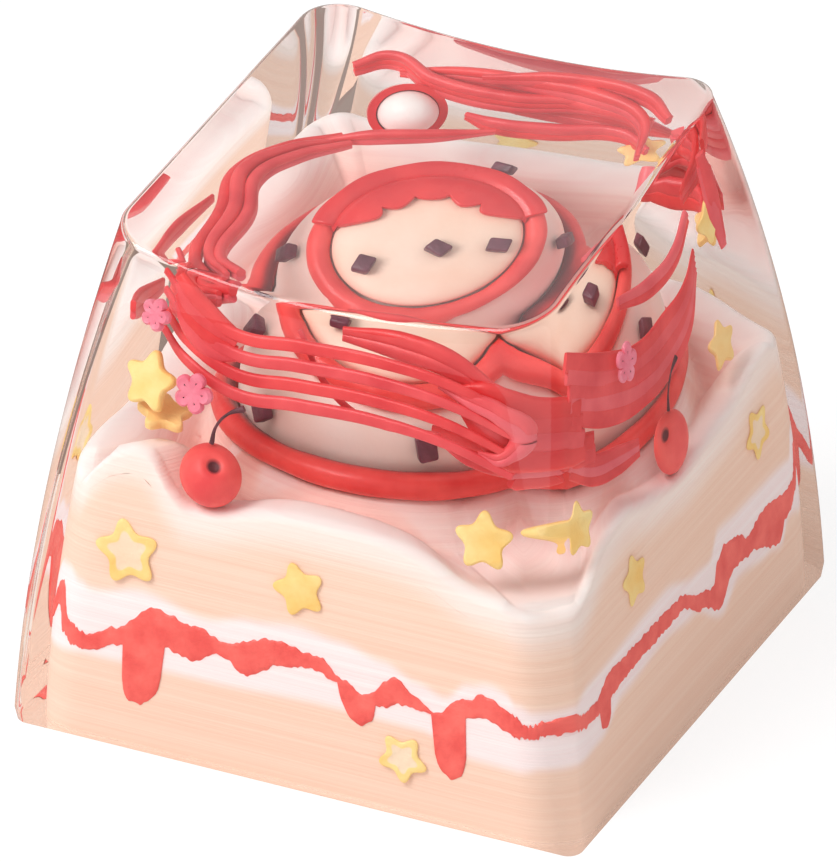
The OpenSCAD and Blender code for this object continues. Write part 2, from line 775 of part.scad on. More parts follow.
clear_casting();
sponge();
cream_filling();
jam_line();
cream_topping();
bun();
cream_disc();
disc_jam_ring();
foot_jam_ring();
disc_glaze();
meringue_ball();
ball_glaze();
for (i = [0 : len(SIDE_STARS) - 1])
    side_star(i);
for (i = [0 : len(LOOSE_STARS) - 1])
    star_biscuit(i);
for (i = [0 : len(FLOWERS) - 1])
    flower(i);
for (i = [0 : CHIP_COUNT - 1])
    chocolate_chip(i);
for (i = [0 : len(RIBBONS) - 1])
    ribbon(i);
for (i = [0 : STRAND_COUNT - 1])
    ribbon_strand(i);
for (i = [0 : len(CHERRIES) - 1]) {
    cherry(i);
    cherry_stalk(i);
}
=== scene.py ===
# %% [markdown]
# # A clear resin keycap with a cake cast inside
# The keycap is a tapered block of clear resin, cast round a layered cake that
# carries a cream bun, jam, syrup ribbons, star biscuits, flowers and cherries.
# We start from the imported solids, which fix every size and place. Each cell then
# makes one piece as it really is, and puts it where its solid says.

# %% Load the solids
import math
import random

import bpy
from mathutils import Matrix, Vector


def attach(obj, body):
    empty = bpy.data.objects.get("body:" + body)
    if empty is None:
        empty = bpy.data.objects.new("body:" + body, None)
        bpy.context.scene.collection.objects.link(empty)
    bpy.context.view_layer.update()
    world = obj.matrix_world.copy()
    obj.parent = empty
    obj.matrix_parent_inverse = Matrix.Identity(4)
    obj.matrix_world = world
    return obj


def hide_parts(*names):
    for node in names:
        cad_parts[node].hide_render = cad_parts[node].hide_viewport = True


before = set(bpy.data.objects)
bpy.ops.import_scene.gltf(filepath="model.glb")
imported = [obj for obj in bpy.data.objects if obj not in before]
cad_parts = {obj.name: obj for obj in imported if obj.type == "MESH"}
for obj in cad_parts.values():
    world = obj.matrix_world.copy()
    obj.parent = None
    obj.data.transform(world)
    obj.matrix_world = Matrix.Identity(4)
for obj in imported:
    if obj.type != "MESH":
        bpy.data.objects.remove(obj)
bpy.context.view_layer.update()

# %% [markdown]
# ## The block's outline
# The four walls lean in and swell a little on the way up, and the upright corners
# open out from a tight radius to a wider one. Everything in the resin lies a known
# distance from those walls, so the outline comes first, as a formula in millimetres.
# A place round the block is counted in sides from the middle of the front.

# %% Outline of the block
MM = 0.001
BLOCK_HIGH, DISH_DEPTH, TOP_TILT = 16.4, 0.75, 6.4
BASE_HALF, TOP_HALF, TOP_FRONT, TOP_BACK = 9.1, 6.65, 6.6, 6.9
SIDE_SWELL, END_SWELL = 0.3, 0.75
FOOT_CORNER, TOP_CORNER = 0.45, 1.4
# The cake lies one skin of resin inside the walls, and the bowl in its topping starts here.
SKIN, CAKE_CORNER, BOWL_FLOOR = 0.7, 1.3, 7.1012
# Of each side, counted from -0.5 to 0.5, this much either way is wall and the rest is corner.
STRAIGHT = 0.35


def wall(base, top, swell, t):
    """Half width at a share of the height, between a base and a top, with a swell halfway."""
    return base * (1 - t) + top * t + 4 * swell * t * (1 - t)


def half_x(z):
    return wall(BASE_HALF, TOP_HALF, SIDE_SWELL, z / BLOCK_HIGH)


def front_y(z):
    return -wall(BASE_HALF, TOP_FRONT, END_SWELL, z / BLOCK_HIGH)


def back_y(z):
    return wall(BASE_HALF, TOP_BACK, END_SWELL, z / BLOCK_HIGH)


def corner_r(z):
    return FOOT_CORNER + (TOP_CORNER - FOOT_CORNER) * z / BLOCK_HIGH


def outline(u, z, inset, r):
    """Point at place u and height z, that far inside the walls, with corners of radius r."""
    side = math.floor(u + 0.5)
    w = u - side
    middle, deep = (back_y(z) + front_y(z)) / 2, (back_y(z) - front_y(z)) / 2 - inset
    wide = half_x(z) - inset
    reach, out = (wide, deep) if side % 2 == 0 else (deep, wide)
    bend = math.radians(max(0, (abs(w) - STRAIGHT) / (0.5 - STRAIGHT) * 45))
    if abs(w) <= STRAIGHT:
        s = w / STRAIGHT * (reach - r)
    else:
        s = math.copysign(reach - r + r * math.sin(bend), w)
    o = out - r + r * math.cos(bend)
    turn = math.radians(90 * side)
    return Vector((
        s * math.cos(turn) + o * math.sin(turn),
        middle + s * math.sin(turn) - o * math.cos(turn),
        z,
    ))


def top_z(x, y):
    """Height of the dished, sloping top over a point."""
    radius = (TOP_HALF**2 + DISH_DEPTH**2) / (2 * DISH_DEPTH)
    dish = radius - math.sqrt(radius**2 - x * x)
    tilt = math.radians(TOP_TILT)
    return BLOCK_HIGH - DISH_DEPTH + dish / math.cos(tilt) + y * math.tan(tilt)


print("half width at half height", round(half_x(BLOCK_HIGH / 2), 3), "mm")

# %% [markdown]
# ## Rolling a sheet
# Walls, rims and rings all run once round the block. The simplest start for them is
# a flat grid. Its columns are rolled round the block and its rows follow the profile,
# then the seam is merged, as when a sheet is rolled up.

# %% Helpers for meshes


def deselect():
    bpy.ops.object.select_all(action="DESELECT")


def finish_mesh(piece, angle=35, holes=True):
    """Closes the seam, turns the faces outwards and smooths all but the sharp edges."""
    deselect()
    bpy.context.view_layer.objects.active = piece
    piece.select_set(True)
    bpy.ops.object.mode_set(mode="EDIT")
    bpy.ops.mesh.select_all(action="SELECT")
    bpy.ops.mesh.remove_doubles(threshold=1e-7)
    if holes:
        bpy.ops.mesh.fill_holes(sides=0)
    bpy.ops.mesh.normals_make_consistent(inside=False)
    bpy.ops.mesh.select_all(action="DESELECT")
    bpy.ops.object.mode_set(mode="OBJECT")
    bpy.ops.object.transform_apply(location=True, rotation=True, scale=True)
    bpy.ops.object.shade_smooth_by_angle(angle=math.radians(angle))
    return piece


def rolled(name, around, up, place, angle=35):
    """Grid of that many faces round and up, with place(u, v) in millimetres for each corner."""
    deselect()
    bpy.ops.mesh.primitive_grid_add(x_subdivisions=around, y_subdivisions=up, size=1)
    piece = bpy.context.object
    piece.name = name
    for v in piece.data.vertices:
        v.co = place(v.co.x + 0.5, v.co.y + 0.5) * MM
    return finish_mesh(piece, angle, holes=False)


def settle(piece, slot_name, material, *nodes):
    """Gives a piece its finish and its body, and hides the solids that it stands for."""
    piece.data.materials.clear()
    piece.data.materials.append(material)
    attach(piece, "root")
    if nodes:
        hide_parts(*nodes)
    print(piece.name, len(piece.data.polygons), "faces")


# %% [markdown]
# ## Finishes
# Every coloured piece is hand-tinted resin or clay, so none is one even colour. One
# helper makes them all: two tones mixed by a soft noise, a finer noise for the
# roughness, and a bump at the scale of the real surface.

# %% Helper for finishes


def linear(hex_colour):
    """Colour of a paint chart as the shader wants it."""
    out = []
    for i in (0, 2, 4):
        c = int(hex_colour[i:i + 2], 16) / 255
        out.append(c / 12.92 if c <= 0.04045 else ((c + 0.055) / 1.055) ** 2.4)
    return (*out, 1)


def tone_ramp(nodes, light, dark):
    """Ramp that turns a noise into a soft change between two tones."""
    ramp = nodes.new("ShaderNodeValToRGB")
    low, high = ramp.color_ramp.elements
    low.position, high.position = 0.32, 0.68
    low.color, high.color = linear(dark), linear(light)
    return ramp


def tinted(name, light, dark, grain=900, rough=0.4, bump=0.1, bump_grain=6000, coat=0.0, stretch=(1, 1, 1)):
    """Principled shader with two tones, uneven roughness and a bump."""
    made = bpy.data.materials.new(name)
    made.use_nodes = True
    nodes, links = made.node_tree.nodes, made.node_tree.links
    shader = nodes["Principled BSDF"]
    shader.inputs["Coat Weight"].default_value = coat
    shader.inputs["Coat Roughness"].default_value = 0.08
    shader.inputs["IOR"].default_value = 1.45
    where = nodes.new("ShaderNodeTexCoord")
    stretched = nodes.new("ShaderNodeMapping")
    stretched.inputs["Scale"].default_value = stretch
    links.new(where.outputs["Object"], stretched.inputs["Vector"])
    soft = nodes.new("ShaderNodeTexNoise")
    soft.name = "tone_noise"
    soft.inputs["Scale"].default_value = grain
    soft.inputs["Detail"].default_value = 3
    links.new(stretched.outputs["Vector"], soft.inputs["Vector"])
    ramp = tone_ramp(nodes, light, dark)
    links.new(soft.outputs["Fac"], ramp.inputs["Fac"])
    links.new(ramp.outputs["Color"], shader.inputs["Base Color"])
    fine = nodes.new("ShaderNodeTexNoise")
    fine.inputs["Scale"].default_value = bump_grain
    links.new(stretched.outputs["Vector"], fine.inputs["Vector"])
    spread = nodes.new("ShaderNodeMapRange")
    spread.inputs["To Min"].default_value = max(0.02, rough - 0.08)
    spread.inputs["To Max"].default_value = min(1, rough + 0.08)
    links.new(fine.outputs["Fac"], spread.inputs["Value"])
    links.new(spread.outputs["Result"], shader.inputs["Roughness"])
    lift = nodes.new("ShaderNodeBump")
    lift.inputs["Strength"].default_value = bump
    lift.inputs["Distance"].default_value = 0.0001
    links.new(fine.outputs["Fac"], lift.inputs["Height"])
    links.new(lift.outputs["Normal"], shader.inputs["Normal"])
    return made


jam_finish = tinted("jam", "FF7066", "F05650", grain=1400, rough=0.45, bump=0.5, bump_grain=5200)
syrup_finish = tinted("syrup", "FA544F", "E43A3A", grain=700, rough=0.4, bump=0.15, coat=0.1)
bun_finish = tinted("bun_cream", "FFF0E6", "FDE4D6", grain=420, rough=0.45, bump=0.1)
biscuit_finish = tinted("star_biscuit", "FFE39A", "FBCB72", grain=900, rough=0.5, bump=0.3)
amber_finish = tinted("amber_biscuit", "FFDA94", "FCC87C", grain=900, rough=0.5, bump=0.3)
stalk_finish = tinted("stalk", "6A3A44", "40202A", grain=2500, rough=0.5, bump=0.3)
chocolate_finish = tinted("chocolate", "7E4456", "5A2838", grain=1500, rough=0.35, bump=0.3)
flower_finish = tinted("pink_flower", "F794A6", "EE7088", grain=1500, rough=0.4, bump=0.2)
meringue_finish = tinted("meringue", "FFF8F4", "FBE8E2", grain=700, rough=0.45, bump=0.1)
glaze_finish = tinted("glaze", "EE3234", "DA1E28", grain=600, rough=0.3, bump=0.08, coat=0.25)
print("finishes", len(bpy.data.materials))

# %% [markdown]
# ## Easing between measured points
# The cream's rim and the jam were measured at a few dozen places round the block.
# A cosine eases from each one to the next, which gives a line as smooth as poured
# cream.

# %% Heights round the cake
# Each pair is a place round the cake and a height: the rim over the bowl's floor, the
# others over the level of the jam.
RIM = [
    (-0.5, 0.9), (-0.42, 1.6), (-0.34, 2.1), (-0.295, 2.5), (-0.265, 2), (-0.225, 0.8), (-0.2, 0.85),
    (-0.15, 0.85), (-0.12, 1.1), (-0.03, 1.35), (0.05, 1.35), (0.13, 1.3), (0.2, 1.1), (0.3, 0.3),
    (0.42, 0), (0.55, -0.15), (0.66, -0.1), (0.73, 0.8), (0.81, 1.1), (0.92, 0.6), (1.02, 0.35),
    (1.15, 0.6), (1.36, 1.4), (1.5, 1.1), (1.7, 1.2), (1.95, 1.4), (2.2, 1), (2.45, 1.3), (2.6, 1.1),
    (2.8, 1.6), (3.05, 1.1), (3.3, 1.6), (3.5, 0.9),
]
JAM_TOP = [
    (-0.5, 1), (-0.426, -0.14), (-0.342, -0.41), (-0.3, 0.05), (-0.241, 0.94), (-0.16, 0.65),
    (-0.12, 0.36), (-0.04, 0.84), (0.04, 0.66), (0.076, 0.14), (0.11, -0.2), (0.167, 0.6),
    (0.191, 0.16), (0.226, -0.22), (0.276, 0.42), (0.31, 0.67), (0.36, 0.3), (0.434, -0.01),
    (0.52, 0.2), (0.6, 0.05), (0.67, 0), (0.72, 0.43), (0.92, 0.38), (0.965, 0.32), (1.03, -0.2),
    (1.075, -0.5), (1.1, 0.2), (1.125, 0.42), (1.17, 0.25), (1.2, -0.12), (1.25, 0.1), (1.28, 0.17),
    (1.33, -0.04), (1.4, 0.05), (1.5, 1),
]
JAM_BOTTOM = [
    (-0.5, 0.2), (-0.454, -0.6), (-0.4, -0.9), (-0.34, -0.9), (-0.29, -0.5), (-0.222, -0.2),
    (-0.171, -0.42), (-0.126, -0.05), (-0.079, -0.5), (-0.026, 0.04), (0.03, 0.22), (0.064, 0),
    (0.1, -0.55), (0.148, -0.45), (0.167, -0.23), (0.2, -0.28), (0.25, -0.35), (0.31, -0.06),
    (0.368, -0.4), (0.452, -0.43), (0.5, -0.28), (0.6, -0.4), (0.66, -0.43), (0.73, -0.32), (0.8, -0.2),
    (0.97, -0.16), (1.03, -0.75), (1.094, -1.36), (1.143, -0.66), (1.206, -0.73), (1.306, -1.38),
    (1.332, -0.87), (1.42, -0.4), (1.5, 0.2),
]
CREAM_TOP = [
    (-0.5, 1.6), (-0.4, 1.3), (-0.34, 1.15), (-0.264, 1.45), (-0.152, 1.05), (-0.078, 1.35), (0, 1.5),
    (0.071, 1.35), (0.144, 1.05), (0.2, 0.65), (0.244, 0.4), (0.284, 0.95), (0.319, 1.1), (0.392, 0.65),
    (0.49, 0.5), (0.663, 0.8), (0.92, 1.05), (1.02, 0.55), (1.07, 0.45), (1.11, 1.1), (1.18, 1),
    (1.29, 0.95), (1.39, 0.85), (1.5, 1.6),
]
CREAM_BOTTOM = [
    (-0.5, -1.2), (-0.324, -1.1), (-0.145, -1.05), (0.047, -0.9), (0.2, -0.95), (0.28, -1.5),
    (0.37, -1.55), (0.53, -1.4), (0.68, -1.3), (0.76, -0.7), (0.905, -0.5), (1, -0.7), (1.1, -1.65),
    (1.16, -1.1), (1.264, -1.4), (1.31, -1.6), (1.342, -1), (1.5, -1.2),
]
# Place, half width and length of each drip, and how slim it runs
DRIPS = [
    (-0.25, 0.045, 2), (0.1, 0.04, 0.65), (0.25, 0.038, 1.9), (0.7, 0.025, 0.7), (1.75, 0.045, 1.5),
    (2.2, 0.04, 1.9), (2.65, 0.04, 1.2), (3.1, 0.04, 1.8),
]
DRIP_SLIM, DRIP_BLUNT = 0.72, 0.24
JAM_LEVEL = 3.7


def eased(points, u):
    """Height at a place, eased between the two points beside it."""
    for (u0, a), (u1, b) in zip(points, points[1:]):
        if u <= u1:
            f = min(1, max(0, (u - u0) / (u1 - u0)))
            return a + (b - a) * (1 - math.cos(math.pi * f)) / 2
    return points[-1][1]


def rim(u):
    """Height of the cream's rim, softened a little along the way."""
    near = [eased(RIM, min(3.5, max(-0.5, u + d))) for d in (-0.03, -0.015, 0, 0.015, 0.03)]
    return BOWL_FLOOR + sum(near) / len(near)


def side_height(points, u):
    """Height on the cake's side; the front and the right side repeat behind."""
    return JAM_LEVEL + eased(points, u - 2 if u > 1.5 else u)


def drip(u):
    """How far the jam has run down at a place."""
    return max(d * max(0, 1 - ((u - p) / (w * DRIP_SLIM)) ** 2) ** DRIP_BLUNT for p, w, d in DRIPS)


def bowl(u, f):
    """Height of the cream at a place round and a share of the way out."""
    s = min(1, max(0, (f - 0.52) / 0.36))
    return BOWL_FLOOR + (rim(u) - BOWL_FLOOR) * s * s * (3 - 2 * s)


def ring_at(u, z, inset):
    """Point near the cake's side, with the cake's corners carried inwards or outwards."""
    return outline(u, z, inset, CAKE_CORNER + SKIN - inset)


def smooth(t):
    """Soft step from 0 to 1."""
    t = min(1, max(0, t))
    return t * t * (3 - 2 * t)


print("the cream's rim runs from", round(min(rim(i / 50 - 0.5) for i in range(200)), 2), "mm up")

# %% [markdown]
# ## The sponge
# Only the outside of the sponge shows through the resin, and from below its hollow,
# the stem and the cross socket. It is printed in fine level layers, peach below and
# fading to cream above. The outside is rolled from a sheet. The hollow, the stem and
# the socket are then cut and joined with booleans, as on the mould.

# %% Sponge with its hollow and stem
SPONGE_UNDER, SPONGE_MIDDLE = 0.8, 6.3
HOLLOW_HALF, HOLLOW_HIGH = 7.1, 4.7
STEM_R, STEM_LONG, STEM_MIDDLE = 2.8, 4.5, 2.65
CROSS_LONG, CROSS_ARM, CROSS_BAR, CROSS_TOP = 4.1, 1.3, 1.15, 4.3


def sponge_place(u, v):
    at = u * 4 - 0.5
    top = rim(at) - SPONGE_UNDER
    if v <= 0.1:
        return ring_at(at, 0, SKIN) * (v / 0.1)
    if v <= 0.85:
        z = (v - 0.1) / 0.75 * top
        return ring_at(at, z, SKIN)
    edge = ring_at(at, top, SKIN)
    share = (1 - v) / 0.15
    return Vector((edge.x * share, edge.y * share, SPONGE_MIDDLE + (edge.z - SPONGE_MIDDLE) * share))


def pocket(wide, deep, top):
    """Plain cutter of that size from below the base up to a height, in millimetres."""
    low, high = Vector((-wide / 2, -deep / 2, -1)), Vector((wide / 2, deep / 2, top))
    deselect()
    bpy.ops.mesh.primitive_cube_add(size=1, location=(low + high) / 2 * MM, scale=(high - low) * MM)
    return bpy.context.object


def combine(piece, other, how):
    """Boolean of two pieces, which uses the second one up."""
    change = piece.modifiers.new("combine", "BOOLEAN")
    change.operation, change.solver, change.object = how, "EXACT", other
    deselect()
    bpy.context.view_layer.objects.active = piece
    bpy.ops.object.modifier_apply(modifier=change.name)
    bpy.data.objects.remove(other)


sponge = rolled("cake_sponge", 192, 60, sponge_place)
combine(sponge, pocket(2 * HOLLOW_HALF, 2 * HOLLOW_HALF, HOLLOW_HIGH), "DIFFERENCE")
deselect()
bpy.ops.mesh.primitive_cylinder_add(vertices=64, radius=STEM_R * MM, depth=STEM_LONG * MM,
                                    location=(0, 0, STEM_MIDDLE * MM))
combine(sponge, bpy.context.object, "UNION")
combine(sponge, pocket(CROSS_LONG, CROSS_ARM, CROSS_TOP), "DIFFERENCE")
combine(sponge, pocket(CROSS_BAR, CROSS_LONG, CROSS_TOP), "DIFFERENCE")
finish_mesh(sponge, holes=False)

# %% [markdown]
# ### Sponge finish
# The layers are finer than a tenth of a millimetre, so they are a pattern and not
# mesh: a noise that is stretched level, read once for the tone and once for the bump.
# A stored shade fades the peach into the cream just under the topping.

# %% Sponge finish


def store_shade(piece, name, shade):
    """Writes a grey value for each corner point, which the finish reads."""
    layer = piece.data.attributes.new(name, "FLOAT_COLOR", "POINT")
    for v, c in zip(piece.data.vertices, layer.data):
        s = shade(v.co / MM)
        c.color = (s, s, s, 1)


def place_round(p):
    """Place round the cake, in sides, of a point in millimetres."""
    middle = (back_y(p.z) + front_y(p.z)) / 2
    wide, deep = half_x(p.z) - SKIN, (back_y(p.z) - front_y(p.z)) / 2 - SKIN
    x, y = p.x, p.y - middle
    out = max(abs(x) / wide, abs(y) / deep, 1e-6)
    if abs(x) / wide > abs(y) / deep:
        side, run, reach = (1, y, deep) if x > 0 else (3, -y, deep)
    else:
        side, run, reach = (0, x, wide) if y < 0 else (2, -x, wide)
    run /= out
    straight = reach - CAKE_CORNER
    if abs(run) <= straight:
        return side + run / straight * STRAIGHT
    bend = math.degrees(math.asin(min(1, (abs(run) - straight) / CAKE_CORNER)))
    return side + math.copysign(STRAIGHT + min(45, bend) / 45 * (0.5 - STRAIGHT), run)


def creaminess(p):
    """1 on the crest, 0.65 just under it, 0 where the sponge keeps its own colour."""
    below = rim(place_round(p)) - p.z
    return 0.65 * smooth(1 - (below - 0.3) / 1.2) + 0.35 * smooth(1 - below / 0.3)


def blended(material, attribute, light, dark):
    """Second pair of tones where the stored shade is high."""
    nodes, links = material.node_tree.nodes, material.node_tree.links
    shader = nodes["Principled BSDF"]
    first = shader.inputs["Base Color"].links[0].from_socket
    ramp = tone_ramp(nodes, light, dark)
    links.new(nodes["tone_noise"].outputs["Fac"], ramp.inputs["Fac"])
    stored = nodes.new("ShaderNodeVertexColor")
    stored.layer_name = attribute
    mix = nodes.new("ShaderNodeMix")
    mix.data_type = "RGBA"
    links.new(stored.outputs["Color"], mix.inputs[0])
    links.new(first, mix.inputs[6])
    links.new(ramp.outputs["Color"], mix.inputs[7])
    links.new(mix.outputs[2], shader.inputs["Base Color"])


SPONGE_TONES = {"light": "FCD9C4", "dark": "F8CFB8"}
LAYERS = {"grain": 520, "rough": 0.6, "bump": 0.25, "bump_grain": 900, "stretch": (0.12, 0.12, 16)}
store_shade(sponge, "cream_fade", creaminess)
sponge_finish = tinted("sponge", **SPONGE_TONES, **LAYERS)
blended(sponge_finish, "cream_fade", "FFF8F4", "FEF0EC")
settle(sponge, "sponge", sponge_finish, "sponge")

# %% [markdown]
# ## The cream band and the jam
# A band of cream shows where the layers meet, with a line of jam along it that has
# run down in places. Both are flush with the sponge, like colour on one smooth wall,
# so each is a thin sheet rolled round it. The cream melts into the sponge at its
# edges, which is a stored shade again. The jam's edge is ragged, as on the cake.

# %% Cream band
random.seed(4)
BAND_OVER, BAND_FADE, FLUSH = 0.15, 0.42, 0.012


def band_edges(u):
    """Heights of the lower and the upper edge of the band."""
    return side_height(CREAM_BOTTOM, u) - BAND_OVER, side_height(CREAM_TOP, u) + BAND_OVER


def band_place(u, v):
    at = u * 4 - 0.5
    low, high = band_edges(at)
    if v <= 0.75:
        t = v / 0.75
        return ring_at(at, low + (high - low) * t, SKIN - FLUSH * math.sin(math.pi * t) ** 0.3)
    t = (v - 0.75) / 0.25
    return ring_at(at, high + (low - high) * t, SKIN + 0.1 * math.sin(math.pi * t))


band = rolled("cream_band", 480, 32, band_place, angle=80)


def into_sponge(p):
    """1 at the edges of the band, 0 along its middle."""
    low, high = band_edges(place_round(p))
    return smooth(1 - min(p.z - low, high - p.z) / BAND_FADE)


store_shade(band, "edge_fade", into_sponge)
cream_finish = tinted("whipped_cream", "FFF1F0", "FDE8E7", **LAYERS)
blended(cream_finish, "edge_fade", **SPONGE_TONES)
settle(band, "cream", cream_finish, "cream_filling")

# %% Jam line with its drips
COLUMNS, RAGGED_HIGH = 1280, 0.05
ragged = [random.uniform(-1, 1) for _ in range(COLUMNS)]
ragged = [(ragged[k - 1] + 2 * ragged[k] + ragged[(k + 1) % COLUMNS]) / 2.6 for k in range(COLUMNS)]


def jam_place(u, v):
    at = u * 4 - 0.5
    k = int(round(u * COLUMNS)) % COLUMNS
    low = side_height(JAM_BOTTOM, at) - drip(at) + RAGGED_HIGH * ragged[k]
    high = max(low + 0.1, side_height(JAM_TOP, at) + RAGGED_HIGH * ragged[(k + 31) % COLUMNS])
    turn = 2 * math.pi * v
    z = (low + high) / 2 - (high - low) / 2 * math.cos(turn)
    proud = 0.045 * max(0, math.sin(turn)) ** 0.4
    return ring_at(at, z, SKIN - FLUSH - proud if v <= 0.5 else SKIN + 0.02)


jam = rolled("jam_line", COLUMNS, 16, jam_place, angle=50)
settle(jam, "jam", jam_finish, "jam_line")

# %% [markdown]
# ## The cream topping
# The topping is poured: its edge rises and falls in soft hills, dips in front where
# the biscuits lie, and turns down into a bowl, where it swells up again to bed the
# bun. It is rolled like the sponge, with the edge rounded over. Its side goes on from
# the sponge with the same fade, and a second stored shade paints shade into the bowl,
# so that it is pinker and darker than the crests.

# %% Cream topping
CREST_IN, CREST_DROP = 0.5, 0.3
BED_HIGH, BED_R, BED_SLOPE = 1.2, 6.3, 1.3


def topping_place(u, v):
    at = u * 4 - 0.5
    crest = rim(at)
    under = crest - 0.82
    if v <= 0.15:
        edge = ring_at(at, under, SKIN + 0.02)
        share = v / 0.15
        return Vector((edge.x * share, edge.y * share, 6.28 + (edge.z - 6.28) * share))
    if v <= 0.35:
        t = (v - 0.15) / 0.2
        return ring_at(at, under + 0.52 * t, SKIN)
    if v <= 0.55:
        turn = (v - 0.35) / 0.2 * math.pi / 2
        z = crest - CREST_DROP + CREST_DROP * math.sin(turn)
        return ring_at(at, z, SKIN + CREST_IN * (1 - math.cos(turn)))
    share = (1 - v) / 0.45
    edge = ring_at(at, crest, SKIN + CREST_IN)
    ripple = 0.05 * math.sin(11 * at + 9 * share) * math.sin(math.pi * share)
    x, y = edge.x * share, edge.y * share
    bed = BED_HIGH * smooth((BED_R - math.hypot(x - 0.3, y - 0.1)) / BED_SLOPE)
    return Vector((x, y, max(bowl(at, share * 0.95 if share < 1 else 1), BOWL_FLOOR + bed) + ripple))


topping = rolled("cream_topping", 480, 90, topping_place, angle=80)


def painted_bowl_shade(p):
    """Painted shade: 1 deep in the bowl, 0 on the crests and on the sides."""
    u = place_round(p)
    edge = ring_at(u, p.z, SKIN)
    out = math.hypot(p.x, p.y) / math.hypot(edge.x, edge.y)
    return smooth((0.99 - out) / 0.13) * min(1, 0.35 + max(0, (rim(u) - p.z) / 1.2))


store_shade(topping, "cream_fade", creaminess)
# Painted shade: the bowl is painted pinker and darker than the crests.
store_shade(topping, "hollow", painted_bowl_shade)
topping_finish = tinted("topping_cream", **SPONGE_TONES, **LAYERS)
blended(topping_finish, "cream_fade", "FFF8F4", "FEF0EC")
# These pinker, darker tones are painted shade in the bowl.
blended(topping_finish, "hollow", "FACFC3", "F4BEB4")
settle(topping, "cream", topping_finish, "cream_topping")

# %% [markdown]
# ## Turned pieces
# The bun, its disc, the jam rings, the ball and the cherries are all turned forms.
# Each is a profile of a few points that spin turns round an axis, as on a lathe. The
# profile starts as one edge of a primitive and is extruded point by point.

# %% Helper for turned pieces
BUN_AT = Vector((0.3, 0.1, BOWL_FLOOR + 1.95))
DISC_AT = BUN_AT + Vector((0.45, -1.05, 3.35))
DISC_TURN = Matrix.Rotation(math.radians(24), 3, "Z") @ Matrix.Rotation(math.radians(20), 3, "X")


def turned(name, profile, at, turn=None, steps=72, angle=40):
    """Spins a profile of (radius, height) points in millimetres round the Z axis through at."""
    deselect()
    bpy.ops.mesh.primitive_plane_add(size=1)
    piece = bpy.context.object
    piece.name = name
    bpy.ops.object.mode_set(mode="EDIT")
    bpy.ops.mesh.select_all(action="SELECT")
    bpy.ops.mesh.merge(type="CENTER")
    bpy.ops.transform.translate(value=Vector((profile[0][0], 0, profile[0][1])) * MM)
    for (r0, z0), (r1, z1) in zip(profile, profile[1:]):
        step = Vector((r1 - r0, 0, z1 - z0)) * MM
        bpy.ops.mesh.extrude_region_move(TRANSFORM_OT_translate={"value": step})
    bpy.ops.mesh.select_all(action="SELECT")
    bpy.ops.mesh.spin(steps=steps, angle=2 * math.pi, center=(0, 0, 0), axis=(0, 0, 1))
    bpy.ops.object.mode_set(mode="OBJECT")
    for v in piece.data.vertices:
        v.co = (turn @ v.co if turn else v.co) + Vector(at) * MM
    return finish_mesh(piece, angle)


def arc(r, a0, a1, n, x=0, y=0, squash=1):
    """Points of an arc in a profile, in degrees."""
    out = []
    for i in range(n + 1):
        a = math.radians(a0 + (a1 - a0) * i / n)
        out.append((x + r * math.cos(a), y + r * squash * math.sin(a)))
    return out


# %% Bun
BUN_R, BUN_UNDER, BUN_OVER = 4.6046, 1.9, 3.9


def bun_profile(a):
    """Radius and height on the bun at an angle above its widest place."""
    c, s = max(0, math.cos(math.radians(a))), math.sin(math.radians(a))
    return BUN_R * c**0.75, (BUN_UNDER if a < 0 else BUN_OVER) * math.copysign(abs(s) ** 0.95, s)


def disc_foot(x, y):
    """Height of the disc's seat over a point, so that the bun stops under it."""
    normal = DISC_TURN @ Vector((0, 0, 1))
    low = DISC_AT - normal * 0.6
    return low.z - (normal.x * (x - low.x) + normal.y * (y - low.y)) / normal.z


bun = turned("cream_bun", [bun_profile(-90 + 4 * i) for i in range(46)], BUN_AT, steps=120)
for v in bun.data.vertices:
    p = v.co / MM
    v.co.z = min(p.z, disc_foot(p.x, p.y)) * MM
settle(bun, "bun_cream", bun_finish, "bun")

# %% [markdown]
# ### The disc on the bun
# The tilted disc is a crowned round of firmer cream. The jam ring round it is piped,
# so it is thicker in some places than in others, and so is the ring at the bun's foot.

# %% Disc and piped rings
DISC_R, DISC_CROWN = 2.9, 0.55
RING_R, RING_THICK, RING_LEVEL = 3.31, 0.36, -0.19
FOOT_R, FOOT_THICK, FOOT_UNDER = 5.0546, 0.4, 0.3


def swollen(piece, centre, swell, seed):
    """Pushes points in or out from a centre line, so that a piped ring is uneven."""
    for v in piece.data.vertices:
        p = v.co / MM - centre
        a = math.atan2(p.y, p.x)
        wave = math.sin(5 * a + seed) * 0.5 + math.sin(9 * a + 2 * seed) * 0.3 + math.sin(17 * a) * 0.2
        v.co += v.normal * wave * swell * MM


disc_outline = [(0, -DISC_CROWN), (DISC_R - 0.15, -DISC_CROWN)]
for a in range(0, 91, 6):
    c, s = max(0, math.cos(math.radians(a))), math.sin(math.radians(a))
    disc_outline.append((DISC_R * math.sqrt(c), DISC_CROWN * s))
disc_finish = tinted("disc_cream", "FFE2CF", "FBD2BA", grain=380, rough=0.45, bump=0.1)
disc = turned("cream_disc", disc_outline, DISC_AT, DISC_TURN, steps=120)
settle(disc, "bun_cream", disc_finish, "cream_disc")

ring_outline = arc(RING_THICK, 0, 360, 20, x=RING_R, y=RING_LEVEL)
disc_ring = turned("disc_jam_ring", ring_outline, DISC_AT, DISC_TURN, steps=160)
swollen(disc_ring, DISC_AT, 0.03, 1)
settle(disc_ring, "jam", syrup_finish, "disc_jam_ring")

foot_at = BUN_AT - Vector((0, 0, FOOT_UNDER))
foot_ring = turned("foot_jam_ring", arc(FOOT_THICK, 0, 360, 20, x=FOOT_R), foot_at, steps=200)
swollen(foot_ring, BUN_AT, 0.035, 2)


